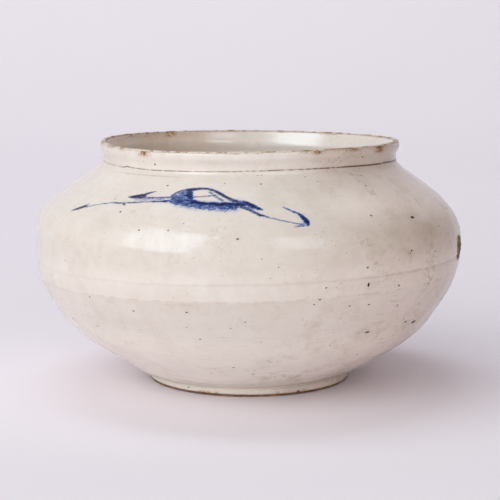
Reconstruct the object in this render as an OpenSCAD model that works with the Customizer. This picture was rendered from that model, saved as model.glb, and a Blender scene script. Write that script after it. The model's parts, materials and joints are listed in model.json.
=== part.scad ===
// A squat white-glazed jar with a wide mouth, an upright collar and a turned foot ring.
// Two thrown bowls are luted together at the belly, and a collar and a foot ring are luted on.
// A spray of cobalt brushwork lies in the glaze of the shoulder, facing -Y.
// Millimetres, +Z up, the origin on the ground at the centre of the foot.

/* [Body] */
// Diameter across the belly, over the glaze
belly_d = 200; // [180:1:220]
// Height of the belly's widest point above the ground
belly_z = 65; // [58:1:75]
// Height of the shoulder from the widest point to the collar
shoulder_rise = 39.2; // [36:0.2:46]
// Thickness of the body at the belly, with both coats of glaze
belly_wall = 5.5; // [4:0.1:8]
// Thickness of the clay floor
floor_t = 6; // [4:0.1:9]
// How far the joint between the two bowls lies below the widest point
seam_drop = 5; // [3:0.5:12]
// How far the lower wall swells past its plain curve
swell_out = 1.4; // [0.2:0.1:3]
// Height of the middle of that swell above the crease at the foot
swell_rise = 19.8; // [16:0.1:26]
// Height of the swell to each side of its middle
swell_half_h = 13.1; // [8:0.1:15]

/* [Collar and lip] */
// Outside diameter of the collar where it meets the shoulder
neck_d = 137; // [124:1:146]
// Height of the collar from the shoulder to the crest
collar_h = 9.2; // [6:0.1:14]
// Thickness of the collar, with both coats of glaze
neck_wall = 4; // [3:0.1:5]
// How far the throat curves in below the collar's joint
throat_drop = 2.7; // [1.5:0.1:5]
// How far the lip stands out past the collar
lip_out = 1.6; // [1:0.1:3]
// How far the collar leans out from its joint up to the lip
collar_flare = 0.5; // [0.2:0.1:0.8]
// Height of the rounded lip
lip_h = 4.2; // [3:0.1:5]
// How far the lip's rounded edge bulges past its flat crest
lip_bulge = 0.9; // [0.5:0.1:1.5]
// Width of the lip's flat crest
crest_w = 1.4; // [1:0.1:2]
// Height of the bare clay that the glaze leaves at the crest
lip_bare_h = 0.5; // [0.3:0.1:1]

/* [Foot] */
// Outside diameter of the foot ring near the ground, over the glaze
foot_d = 95.4; // [80:0.2:110]
// Height of the foot ring up to the crease under the bowl
foot_h = 4.5; // [3.5:0.1:8]
// How far the foot ring draws in from the ground to the crease
foot_draw = 0.7; // [0:0.1:1.5]
// Thickness of the foot ring at the crease
foot_w = 5.3; // [4:0.1:8]
// Bevel along the foot ring's two lower edges
foot_bevel = 0.4; // [0.2:0.1:1]
// Height of the bare clay that the glaze leaves at the foot
bare_h = 1.1; // [0.8:0.1:2]
// Depth that the base is turned away inside the foot ring
recess_cut = 1.1; // [0.5:0.1:2]

/* [Joints] */
// Thickness of the slip in each luted joint
slip_t = 0.5; // [0.3:0.1:1]
// How far the squeezed slip stands out inside the belly
ridge_out = 1.2; // [0.5:0.1:2.5]
// Height of the squeezed slip to each side of the joint
ridge_half_h = 2.4; // [1.5:0.1:4]

/* [Glaze] */
// Thickness of each coat of glaze
glaze_t = 0.5; // [0.3:0.05:0.8]

/* [Brushwork] */
// Angle round the jar that the painted spray spans
paint_turn = 76; // [50:1:90]
// Angle of its left end, counted from the front
paint_start = -60; // [-80:1:-40]
// Height of its lowest stroke above the widest point
paint_rise = 19; // [16:0.5:20]
// Height that the spray covers
paint_h = 14; // [11:0.5:15]
// Width of the broadest stroke
brush_w = 5.4; // [4:0.1:6]

/* [Kiln scar] */
// Height of the scar where something touched the jar in the kiln
scar_h = 12.8; // [6:0.2:20]
// Width of the scar round the jar
scar_w = 8.5; // [4:0.5:14]
// How far the scar stands out of the glaze
scar_out = 0.8; // [0.3:0.1:1.5]
// Angle of the scar, counted from the front
scar_turn = 76; // [60:1:84]

/* [Hidden] */
$fn = 96;

clay_colour = "#d8c3ae";
slip_colour = "#b59a80";
glaze_colour = "#e8e0d6";
inside_colour = "#dcd2c6";
scar_colour = "#6f5a4c";
cobalt_colour = "#2d3767";
thin_cobalt_colour = "#566190";

// Powers of the two curves that shape the wall: the first fills the middle, the second the ends
lower_powers = [1.98, 0.844];
upper_powers = [2.51, 1.46];
inside_powers = [2.4, 0.5];
// Points along each curve
curve_steps = 22;
lip_steps = 6;
lip_start_angle = -50;
ridge_steps = 6;
// A length that reaches past what a cut goes through
overrun = glaze_t * 2;
// The stretch over which a slope is measured
probe = glaze_t / 10;

belly_r = belly_d / 2;
neck_r = neck_d / 2;
shoulder_z = belly_z + shoulder_rise;
jar_h = shoulder_z + collar_h;
seam_z = belly_z - seam_drop;
swell_z = foot_h + swell_rise;
foot_r = foot_d / 2;
crease_r = foot_r - foot_draw;
foot_in_r = crease_r - foot_w;
recess_z = foot_h + recess_cut;
floor_z = recess_z + floor_t + glaze_t;
inner_belly_r = belly_r - belly_wall;
neck_in_r = neck_r - neck_wall;
throat_z = shoulder_z - throat_drop;
lip_z = jar_h - lip_h;
crest_out_r = neck_r + lip_out - lip_bulge;
crest_in_r = crest_out_r - crest_w;
lip_coat_z = jar_h - lip_bare_h;
lip_coat_angle = asin(1 - 2 * lip_bare_h / lip_h);
ridge_z = seam_z + slip_t / 2;

// A bulging curve from 1 at the widest point to 0 at the far end, for a share of the way there
function bulge(share, powers) = pow(1 - pow(min(1, max(0, share)), powers[0]), powers[1]);

// How far a ridge stands out at a height, for the height of its middle, its half height and its most
function ridge_at(z, middle, half_h, most) = abs(z - middle) < half_h
    ? most * pow(cos(90 * (z - middle) / half_h), 2)
    : 0;

// Radius over the glaze, and radius of the hollow, at a height
function skin_r(z) = z < belly_z
    ? crease_r + (belly_r - crease_r) * bulge((belly_z - z) / (belly_z - foot_h), lower_powers)
        + ridge_at(z, swell_z, swell_half_h, swell_out)
    : neck_r + (belly_r - neck_r) * bulge((z - belly_z) / shoulder_rise, upper_powers);
function hollow_r(z) = z < belly_z
    ? inner_belly_r * bulge((belly_z - z) / (belly_z - floor_z), inside_powers)
    : neck_in_r + (inner_belly_r - neck_in_r) * bulge((z - belly_z) / (throat_z - belly_z), upper_powers);

// A point at a depth under the skin, and one at a depth into the clay from the hollow
function under_skin(z, depth) = let (
        s = (skin_r(z + probe) - skin_r(z - probe)) / (2 * probe),
        n = norm([1, s]))
    [skin_r(z) - depth / n, z + depth * s / n];
function into_wall(z, depth) = let (
        s = (hollow_r(z + probe) - hollow_r(z - probe)) / (2 * probe),
        n = norm([1, s]))
    [hollow_r(z) + depth / n, z - depth * s / n];

// Heights of the skin's points, close together near the crease
lower_heights = [for (i = [1:curve_steps]) belly_z - (belly_z - foot_h) * cos(90 * i / curve_steps)];
upper_heights = [for (i = [1:curve_steps]) belly_z + shoulder_rise * i / curve_steps];
skin_heights = concat(lower_heights, upper_heights);

// Heights of the hollow's points, close together near the floor, with the slip ridge's own among them
ridge_heights = [for (i = [-ridge_steps:ridge_steps]) ridge_z + ridge_half_h * i / ridge_steps];
floor_heights = [for (i = [1:curve_steps]) floor_z + (belly_z - floor_z) * pow(i / curve_steps, 2)];
throat_heights = [for (i = [1:curve_steps]) belly_z + (throat_z - belly_z) * i / curve_steps];
hollow_heights = concat(
    [for (z = floor_heights) if (z < ridge_z - ridge_half_h - overrun) z],
    ridge_heights,
    [for (z = concat(floor_heights, throat_heights)) if (z > ridge_z + ridge_half_h + overrun) z]);

// How far the squeezed slip stands out at a height
function ridge(z) = ridge_at(z, ridge_z, ridge_half_h, ridge_out);

// The foot's side and the lip, moved inwards by a depth
function foot_side_r(z) = foot_r - foot_draw * z / foot_h;
function lip_arc(depth, low_angle, high_angle) = [for (i = [0:lip_steps])
    let (a = low_angle + (high_angle - low_angle) * i / lip_steps)
    [crest_out_r + lip_bulge * cos(a) - depth, jar_h - lip_h / 2 + lip_h / 2 * sin(a)]];
function lip_in_r(z) = neck_in_r + (crest_in_r - neck_in_r) * (z - lip_z) / lip_h;

// Outlines of the coats' faces, from the crease up to the lip, and from the lip down the hollow to the floor
function outside(depth) = concat(
    [[crease_r - depth, foot_h + depth]],
    [for (z = skin_heights) under_skin(z, depth)],
    [[neck_r + collar_flare - depth, lip_z]],
    lip_arc(depth, lip_start_angle, lip_coat_angle));
function inside(depth, slip) = concat(
    [[lip_in_r(lip_coat_z) + depth, lip_coat_z], [neck_in_r + depth, lip_z]],
    [for (i = [len(hollow_heights) - 1:-1:0])
        into_wall(hollow_heights[i], depth - slip * ridge(hollow_heights[i]))],
    [[0, floor_z - depth]]);
function backwards(points) = [for (i = [len(points) - 1:-1:0]) points[i]];

module clay_outline() {
    polygon(concat(
        [[0, recess_z], [foot_in_r, recess_z], [foot_in_r, foot_h], [crease_r - glaze_t, foot_h]],
        outside(glaze_t),
        lip_arc(0, lip_coat_angle, 90),
        [[crest_in_r, jar_h], [lip_in_r(lip_coat_z), lip_coat_z]],
        inside(glaze_t, 0)));
}

// The part of the clay between two heights
module clay_band(low, high) {
    rotate_extrude() intersection() {
        clay_outline();
        translate([0, low]) square([belly_r, high - low]);
    }
}

module foot_ring() {
    top = foot_h - slip_t;
    color(clay_colour) rotate_extrude() polygon([
        [foot_in_r, top], [foot_in_r, foot_bevel], [foot_in_r + foot_bevel, 0],
        [foot_side_r(foot_bevel) - glaze_t - foot_bevel, 0], [foot_side_r(foot_bevel) - glaze_t, foot_bevel],
        [foot_side_r(top) - glaze_t, top]]);
}

module foot_slip() {
    low = foot_h - slip_t;
    color(slip_colour) rotate_extrude() polygon([
        [foot_in_r, foot_h], [foot_in_r, low], [foot_side_r(low) - glaze_t, low], [crease_r - glaze_t, foot_h]]);
}

module lower_bowl() {
    color(clay_colour) clay_band(0, seam_z);
}

module belly_slip() {
    ridge_face = [for (z = ridge_heights) into_wall(z, glaze_t)];
    ridge_crest = [for (z = ridge_heights) into_wall(z, glaze_t - ridge(z))];
    color(slip_colour) union() {
        clay_band(seam_z, seam_z + slip_t);
        rotate_extrude() polygon(concat(
            ridge_face,
            [for (i = [len(ridge_crest) - 2:-1:1]) ridge_crest[i]]));
    }
}

module upper_bowl() {
    color(clay_colour) clay_band(seam_z + slip_t, shoulder_z - slip_t);
}

module neck_slip() {
    color(slip_colour) clay_band(shoulder_z - slip_t, shoulder_z);
}

module neck_collar() {
    color(clay_colour) clay_band(shoulder_z, jar_h + overrun);
}

// The outer coat without its brushwork
module outer_coat() {
    rotate_extrude() polygon(concat(
        [[foot_side_r(bare_h), bare_h]],
        outside(0),
        backwards(outside(glaze_t)),
        [[crease_r - glaze_t, foot_h], [foot_side_r(bare_h) - glaze_t, bare_h]]));
}

module inner_glaze() {
    color(inside_colour) rotate_extrude() polygon(concat(inside(0, 1), backwards(inside(glaze_t, 1))));
}

module base_glaze() {
    color(glaze_colour) rotate_extrude() polygon([
        [0, recess_z], [0, recess_z - glaze_t], [foot_in_r - glaze_t, recess_z - glaze_t],
        [foot_in_r - glaze_t, bare_h], [foot_in_r, bare_h], [foot_in_r, recess_z]]);
}

module kiln_scar() {
    // Shares of the scar's half size by which its edge wanders, three times and five times round
    edge_shares = [0.1, 0.07];
    edge_steps = 24;
    scar_heights = [for (z = skin_heights) if (abs(z - belly_z) < scar_h) z];
    edge = [for (i = [0:edge_steps - 1])
        let (a = 360 * i / edge_steps, r = 1 - edge_shares[0] * (1 + sin(3 * a)) / 2 + edge_shares[1] * cos(5 * a))
        [scar_w / 2 * r * cos(a), belly_z + scar_h / 2 * r * sin(a)]];
    color(scar_colour) intersection() {
        rotate_extrude() polygon(concat(
            [for (z = scar_heights) under_skin(z, 0)],
            [for (i = [len(scar_heights) - 1:-1:0]) under_skin(scar_heights[i], -scar_out)]));
        rotate([90, 0, scar_turn]) linear_extrude(height = belly_r + scar_out + overrun) polygon(edge);
    }
}

// Strokes of the spray. Each point is its place along the spray, its place up the spray and its
// width, as shares of the spray's angle, of its height and of the broadest stroke.
wash_shares = [[0.43, 0.57, 0.1], [0.465, 0.63, 0.5], [0.50, 0.68, 0.9], [0.535, 0.67, 1], [0.57, 0.60, 0.72],
    [0.61, 0.565, 0.6], [0.66, 0.55, 0.58], [0.70, 0.55, 0.55], [0.735, 0.565, 0.4], [0.765, 0.58, 0.15]];
arch_shares = [[0.49, 0.80, 0.1], [0.53, 0.88, 0.3], [0.58, 0.94, 0.2], [0.63, 0.90, 0.2], [0.68, 0.78, 0.22],
    [0.72, 0.67, 0.2], [0.76, 0.60, 0.12]];
vein_shares = [[0.545, 0.755, 0.05], [0.60, 0.75, 0.07], [0.65, 0.78, 0.05]];
cross_vein_shares = [[0.615, 0.88, 0.05], [0.65, 0.76, 0.08], [0.69, 0.67, 0.05]];
leaf_shares = [[0.262, 0.62, 0.05], [0.29, 0.645, 0.22], [0.325, 0.67, 0.28], [0.35, 0.73, 0.14],
    [0.387, 0.82, 0.04]];
leaf_stem_shares = [[0.34, 0.655, 0.1], [0.39, 0.65, 0.12], [0.43, 0.67, 0.13], [0.47, 0.70, 0.18]];
barb_shares = [[0, 0.07, 0.06], [0.02, 0.155, 0.2], [0.045, 0.26, 0.18], [0.062, 0.32, 0.05]];
stem_shares = [[0.04, 0.2, 0.08], [0.09, 0.27, 0.1], [0.15, 0.37, 0.09], [0.20, 0.45, 0.09], [0.25, 0.47, 0.13],
    [0.30, 0.50, 0.13], [0.37, 0.53, 0.13], [0.45, 0.585, 0.14]];
right_leaf_shares = [[0.73, 0.62, 0.1], [0.77, 0.59, 0.3], [0.80, 0.52, 0.32], [0.82, 0.46, 0.18],
    [0.836, 0.42, 0.05]];
tail_shares = [[0.72, 0.52, 0.12], [0.76, 0.45, 0.2], [0.80, 0.37, 0.16], [0.83, 0.30, 0.14], [0.86, 0.24, 0.09],
    [0.91, 0.15, 0.07], [0.96, 0.05, 0.05]];
hook_shares = [[0.915, 0.48, 0.04], [0.935, 0.42, 0.08], [0.96, 0.33, 0.1], [0.978, 0.24, 0.22], [0.99, 0.13, 0.27],
    [0.988, 0.02, 0.1]];
// Points that each stretch between two of these is drawn with
stroke_steps = 3;

// A smooth curve through a stroke's points
function curve_point(p, i, t) = let (a = p[max(i - 1, 0)], b = p[i], c = p[i + 1], d = p[min(i + 2, len(p) - 1)])
    (2 * b + (c - a) * t + (2 * a - 5 * b + 4 * c - d) * pow(t, 2) + (3 * b - a - 3 * c + d) * pow(t, 3)) / 2;
function curve(p) = concat(
    [for (i = [0:len(p) - 2], k = [0:stroke_steps - 1]) curve_point(p, i, k / stroke_steps)],
    [p[len(p) - 1]]);

// The outline of a stroke, seen square to the wall at an angle
function stroke_middle(shares) = paint_start + paint_turn * (shares[0][0] + shares[len(shares) - 1][0]) / 2;
function stroke_edge(path, turn, side) = let (
        spine = [for (p = path) let (
                z = belly_z + paint_rise + paint_h * p[1],
                a = paint_start + paint_turn * p[0] - turn)
            [skin_r(z) * sin(a), z]],
        last = len(spine) - 1)
    [for (i = [0:last])
        let (d = spine[min(i + 1, last)] - spine[max(i - 1, 0)], w = side * brush_w / 2 * path[i][2] / norm(d))
        spine[i] + w * [-d[1], d[0]]];

// A stroke as a block that reaches from the jar's axis out through the wall
module stroke(shares) {
    turn = stroke_middle(shares);
    path = curve(shares);
    rotate([90, 0, turn]) linear_extrude(height = belly_r + overrun)
        polygon(concat(stroke_edge(path, turn, 1), backwards(stroke_edge(path, turn, -1))));
}

// The cobalt of some strokes, in the full depth of the outer coat
module cobalt(colour) {
    color(colour) intersection() {
        outer_coat();
        union() children();
    }
}

module brush_wash() {
    cobalt(cobalt_colour) stroke(wash_shares);
}

module brush_arch() {
    difference() {
        cobalt(cobalt_colour) stroke(arch_shares);
        stroke(wash_shares);
    }
}

module brush_veins() {
    difference() {
        cobalt(thin_cobalt_colour) {
            stroke(vein_shares);
            stroke(cross_vein_shares);
        }
        stroke(wash_shares);
        stroke(arch_shares);
    }
}

module brush_side_leaf() {
    difference() {
        cobalt(cobalt_colour) {
            stroke(leaf_shares);
            stroke(leaf_stem_shares);
        }
        stroke(wash_shares);
    }
}

module brush_long_stem() {
    difference() {
        cobalt(cobalt_colour) {
            stroke(barb_shares);
            stroke(stem_shares);
        }
        stroke(wash_shares);
    }
}

module brush_right_leaf() {
    difference() {
        cobalt(cobalt_colour) stroke(right_leaf_shares);
        stroke(wash_shares);
        stroke(arch_shares);
    }
}

module brush_tail() {
    difference() {
        cobalt(thin_cobalt_colour) stroke(tail_shares);
        stroke(wash_shares);
        stroke(right_leaf_shares);
    }
}

module brush_hook() {
    difference() {
        cobalt(cobalt_colour) stroke(hook_shares);
        stroke(tail_shares);
    }
}

module outer_glaze() {
    color(glaze_colour) difference() {
        outer_coat();
        for (shares = [wash_shares, arch_shares, vein_shares, cross_vein_shares, leaf_shares, leaf_stem_shares,
            barb_shares, stem_shares, right_leaf_shares, tail_shares, hook_shares]) stroke(shares);
    }
}

foot_ring();
foot_slip();
lower_bowl();
belly_slip();
upper_bowl();
neck_slip();
neck_collar();
outer_glaze();
inner_glaze();
base_glaze();
kiln_scar();
brush_wash();
brush_arch();
brush_veins();
brush_side_leaf();
brush_long_stem();
brush_right_leaf();
brush_tail();
brush_hook();
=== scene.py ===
"""The looks of a squat white-glazed jar with cobalt brushwork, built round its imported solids."""

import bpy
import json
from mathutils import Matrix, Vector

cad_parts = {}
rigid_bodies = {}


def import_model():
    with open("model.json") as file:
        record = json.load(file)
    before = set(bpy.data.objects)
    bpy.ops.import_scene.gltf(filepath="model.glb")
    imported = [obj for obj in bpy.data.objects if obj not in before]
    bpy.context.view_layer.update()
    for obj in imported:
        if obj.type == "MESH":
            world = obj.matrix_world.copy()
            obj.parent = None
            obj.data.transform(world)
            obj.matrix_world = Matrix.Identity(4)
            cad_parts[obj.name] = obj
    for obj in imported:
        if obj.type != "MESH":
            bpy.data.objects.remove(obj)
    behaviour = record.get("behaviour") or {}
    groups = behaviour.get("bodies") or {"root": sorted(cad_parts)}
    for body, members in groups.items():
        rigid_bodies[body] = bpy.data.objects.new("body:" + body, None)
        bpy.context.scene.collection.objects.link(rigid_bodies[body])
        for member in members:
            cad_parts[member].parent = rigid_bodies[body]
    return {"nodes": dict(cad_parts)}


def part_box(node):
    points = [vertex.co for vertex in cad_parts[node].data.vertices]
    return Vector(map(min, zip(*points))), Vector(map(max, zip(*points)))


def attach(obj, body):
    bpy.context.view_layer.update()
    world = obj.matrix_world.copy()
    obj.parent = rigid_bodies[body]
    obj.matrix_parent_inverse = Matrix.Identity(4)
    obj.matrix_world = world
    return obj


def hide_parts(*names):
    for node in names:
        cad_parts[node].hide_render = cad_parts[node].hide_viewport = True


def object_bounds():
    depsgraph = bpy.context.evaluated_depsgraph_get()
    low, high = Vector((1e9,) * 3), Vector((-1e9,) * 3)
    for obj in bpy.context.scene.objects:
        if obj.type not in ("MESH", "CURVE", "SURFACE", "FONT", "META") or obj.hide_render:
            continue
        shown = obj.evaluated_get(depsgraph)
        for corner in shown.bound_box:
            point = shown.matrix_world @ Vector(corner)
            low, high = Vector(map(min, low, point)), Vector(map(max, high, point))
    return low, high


bl_info = {
    "name": "White glazed jar",
    "version": (1, 0, 0),
    "blender": (4, 5, 0),
    "location": "View3D > Sidebar > Jar",
    "description": "Builds the glaze, brushwork, bare clay, kiln marks and studio of a squat glazed jar",
    "category": "Object",
}

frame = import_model()
cad_low, cad_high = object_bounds()

import json
import math

import bmesh
import bpy
import numpy as np
from bpy.props import FloatProperty, FloatVectorProperty, IntProperty, PointerProperty
from mathutils import Vector, noise

MM = 0.001

# Powers of the curves that shape the wall, the same as in the solids
LOWER_POWERS = (1.98, 0.844)
UPPER_POWERS = (2.51, 1.46)
INSIDE_POWERS = (2.4, 0.5)

# Strokes of the spray. Each point is its place along the spray, its place up the spray, half its
# width in millimetres and its strength.
BAND = [(0.446, 0.59, 0.2, 0.5), (0.486, 0.62, 0.45, 0.5), (0.517, 0.635, 0.6, 0.55),
        (0.55, 0.625, 0.65, 0.7), (0.571, 0.605, 0.6, 0.9), (0.589, 0.585, 0.55, 1.0),
        (0.614, 0.57, 0.58, 1.0), (0.645, 0.565, 0.6, 1.0), (0.675, 0.56, 0.62, 1.0),
        (0.705, 0.56, 0.65, 1.0), (0.734, 0.56, 0.6, 1.0), (0.758, 0.555, 0.45, 1.0),
        (0.77, 0.545, 0.25, 0.8)]
BLEED = [(0.475, 0.585, 0.2, 0.4), (0.505, 0.565, 0.4, 0.42), (0.542, 0.54, 0.6, 0.45),
         (0.58, 0.515, 0.65, 0.36), (0.62, 0.495, 0.65, 0.33), (0.66, 0.485, 0.6, 0.32),
         (0.70, 0.49, 0.5, 0.38), (0.733, 0.515, 0.4, 0.45)]
BODY = [(0.464, 0.70, 0.2, 0.25), (0.478, 0.74, 0.6, 0.3), (0.495, 0.77, 0.9, 0.35),
        (0.512, 0.80, 1.15, 0.48), (0.528, 0.81, 1.3, 0.62), (0.541, 0.80, 1.2, 0.8),
        (0.548, 0.76, 0.9, 0.85)]
BODY_FOOT = [(0.476, 0.67, 0.4, 0.35), (0.50, 0.70, 0.6, 0.4), (0.53, 0.72, 0.8, 0.5),
             (0.556, 0.70, 0.6, 0.7)]
ARCH = [(0.463, 0.715, 0.15, 0.3), (0.472, 0.79, 0.2, 0.4), (0.49, 0.855, 0.28, 0.55),
        (0.516, 0.905, 0.4, 0.75), (0.545, 0.925, 0.5, 0.85), (0.572, 0.95, 0.36, 0.85),
        (0.595, 0.955, 0.34, 0.8), (0.616, 0.945, 0.34, 0.8), (0.641, 0.905, 0.36, 0.85),
        (0.667, 0.84, 0.38, 0.85), (0.688, 0.77, 0.38, 0.85), (0.708, 0.71, 0.42, 0.8),
        (0.726, 0.66, 0.45, 0.8), (0.745, 0.63, 0.4, 0.8)]
VEIN = [(0.567, 0.735, 0.13, 0.45), (0.607, 0.76, 0.15, 0.6), (0.65, 0.79, 0.15, 0.5)]
CROSS_VEIN = [(0.622, 0.875, 0.25, 0.25), (0.646, 0.79, 0.36, 0.32), (0.664, 0.72, 0.38, 0.32),
              (0.684, 0.66, 0.35, 0.3)]
SIDE_LEAF = [(0.272, 0.635, 0.14, 0.7), (0.289, 0.645, 0.42, 0.95), (0.308, 0.66, 0.66, 1.0),
             (0.327, 0.675, 0.82, 1.0), (0.344, 0.69, 0.78, 1.0)]
LEAF_TIP = [(0.336, 0.71, 0.4, 0.9), (0.352, 0.765, 0.28, 0.85), (0.369, 0.80, 0.18, 0.75),
            (0.387, 0.825, 0.08, 0.5)]
LEAF_STEM = [(0.345, 0.655, 0.2, 0.6), (0.38, 0.66, 0.18, 0.55), (0.413, 0.672, 0.18, 0.6),
             (0.446, 0.69, 0.22, 0.6), (0.48, 0.70, 0.3, 0.6)]
BARB = [(0.026, 0.085, 0.12, 0.8), (0.046, 0.14, 0.42, 0.95), (0.064, 0.19, 0.58, 0.95),
        (0.079, 0.24, 0.55, 0.95), (0.092, 0.32, 0.14, 0.7)]
BARB_FORK = [(0.074, 0.22, 0.3, 0.8), (0.088, 0.24, 0.2, 0.7), (0.102, 0.255, 0.15, 0.5)]
LONG_STEM = [(0.098, 0.255, 0.17, 0.4), (0.117, 0.29, 0.2, 0.38), (0.148, 0.345, 0.2, 0.4),
             (0.189, 0.41, 0.19, 0.42), (0.22, 0.44, 0.19, 0.48), (0.259, 0.452, 0.19, 0.55),
             (0.305, 0.49, 0.2, 0.58), (0.347, 0.52, 0.2, 0.58), (0.399, 0.56, 0.22, 0.6),
             (0.43, 0.575, 0.25, 0.6), (0.46, 0.59, 0.4, 0.6)]
STEM_KNOT = [(0.275, 0.45, 0.25, 0.7), (0.282, 0.43, 0.25, 0.8)]
RIGHT_LEAF = [(0.733, 0.635, 0.3, 0.7), (0.75, 0.635, 0.35, 0.65), (0.766, 0.615, 0.45, 0.75),
              (0.778, 0.585, 0.6, 0.95), (0.792, 0.54, 0.7, 1.0), (0.807, 0.49, 0.62, 1.0),
              (0.82, 0.45, 0.4, 1.0), (0.834, 0.415, 0.12, 0.8)]
TAIL = [(0.756, 0.50, 0.6, 0.75), (0.778, 0.45, 0.45, 0.7), (0.80, 0.375, 0.38, 0.7),
        (0.82, 0.30, 0.3, 0.7), (0.858, 0.21, 0.17, 0.6), (0.887, 0.15, 0.14, 0.55),
        (0.921, 0.09, 0.14, 0.45), (0.95, 0.04, 0.14, 0.4), (0.967, 0.015, 0.14, 0.35)]
TAIL_KNOT = [(0.824, 0.275, 0.3, 0.9), (0.832, 0.27, 0.3, 0.9)]
HOOK = [(0.912, 0.475, 0.1, 0.5), (0.936, 0.395, 0.15, 0.6), (0.957, 0.325, 0.24, 0.75),
        (0.97, 0.255, 0.42, 0.95), (0.977, 0.19, 0.68, 1.0), (0.983, 0.12, 0.85, 1.0),
        (0.988, 0.055, 0.78, 1.0), (0.986, 0.0, 0.5, 0.8)]
HOOK_BACK = [(0.94, -0.05, 0.25, 0.22), (0.958, -0.02, 0.4, 0.35), (0.972, 0.0, 0.5, 0.5)]
PALE = [(0.311, 0.585, 0.5, 0.1), (0.354, 0.60, 0.5, 0.12), (0.40, 0.62, 0.5, 0.14), (0.44, 0.64, 0.4, 0.2)]
NOTCH = [(0.77, 0.52, 0.5, 0.25), (0.80, 0.45, 0.5, 0.2)]
# Three drops below the end of the band
DROPS = [(0.716, 0.49, 0.32, 0.9), (0.726, 0.445, 0.26, 0.8), (0.733, 0.425, 0.2, 0.6)]
# Three drops below the end of the band
DROPS = [(0.716, 0.49, 0.32, 0.9), (0.726, 0.445, 0.26, 0.8), (0.733, 0.425, 0.2, 0.6)]

# Each stroke with how soft its edge is, in millimetres, and how much iron greys its cobalt
STROKES = [(BAND, 0.35, 0.0), (BLEED, 0.8, 0.0), (BODY, 0.4, 0.1), (BODY_FOOT, 0.4, 0.0), (ARCH, 0.25, 0.6),
           (VEIN, 0.2, 0.9), (CROSS_VEIN, 0.4, 0.35), (SIDE_LEAF, 0.25, 0.8), (LEAF_TIP, 0.2, 0.9),
           (LEAF_STEM, 0.22, 0.6), (BARB, 0.22, 0.85), (BARB_FORK, 0.22, 0.8), (LONG_STEM, 0.2, 0.6),
           (STEM_KNOT, 0.25, 0.8), (RIGHT_LEAF, 0.3, 0.1), (TAIL, 0.26, 0.45), (TAIL_KNOT, 0.25, 0.5),
           (HOOK, 0.35, 0.0), (HOOK_BACK, 0.4, 0.2), (PALE, 0.8, 0.2), (NOTCH, 0.5, 0.0)]

# The crack where the collar meets the shoulder: angle from the front, height, and strength
CRACK = [(-180, 104.3, 0.5), (-150, 104.0, 0.7), (-120, 104.4, 0.3), (-92, 104.2, 0.5), (-73, 104.0, 0.6),
         (-64, 104.0, 0.5), (-60, 103.9, 0.1), (-55, 103.8, 0.8), (-53, 104.5, 1.0), (-49, 104.1, 0.9),
         (-44, 104.0, 0.7), (-39, 103.9, 0.8), (-27, 104.1, 0.9), (-17.5, 104.2, 0.6), (-2.5, 104.6, 0.8),
         (11, 104.9, 0.9), (25.5, 105.0, 0.9), (37, 105.0, 1.3), (50.5, 104.8, 2.3), (59, 104.7, 2.6),
         (63, 104.9, 2.2), (69, 104.6, 1.3), (80, 104.4, 1.0), (120, 104.2, 0.6), (150, 104.5, 0.9),
         (180, 104.3, 0.5)]
# A finer crack on the shoulder below it, at the left
FINE_CRACK = [(-180, 101.2, 0), (-62, 101.2, 0), (-50, 101.3, 0.8), (-30, 101.4, 0.7), (-20, 101.2, 0),
              (180, 101.2, 0)]
# A finer crack on the shoulder below it, at the left
FINE_CRACK = [(-180, 101.2, 0), (-62, 101.2, 0), (-50, 101.3, 0.8), (-30, 101.4, 0.7), (-20, 101.2, 0),
              (180, 101.2, 0)]

# Rust on the lip: angle from the front, spread round the lip, reach down from the crest, and strength
RUST = [(-42, 4.4, 3.4, 1.0), (-65, 3.5, 1.5, 0.9), (-55, 3.0, 1.5, 0.8), (-5, 3.0, 1.1, 0.8),
        (3, 2.5, 1.0, 0.9), (19.5, 2.2, 1.6, 0.9), (25, 2.6, 2.3, 1.6), (41, 2.6, 2.0, 1.4),
        (56, 4.2, 4.2, 1.7), (61, 2.0, 2.0, 0.6), (80, 6.0, 3.0, 0.6), (-84, 13.0, 2.6, 0.8),
        (-20, 6.0, 0.9, 0.4), (12, 5.0, 0.9, 0.4), (33, 3.0, 1.1, 0.6), (-143, 5.0, 3.2, 1.0),
        (-132, 6.0, 2.0, 0.6), (-120, 5.0, 1.8, 0.8), (-173, 4.0, 1.2, 0.7), (166, 4.0, 1.4, 0.7),
        (142, 4.0, 1.6, 0.7), (113, 4.0, 1.4, 0.6)]

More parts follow.
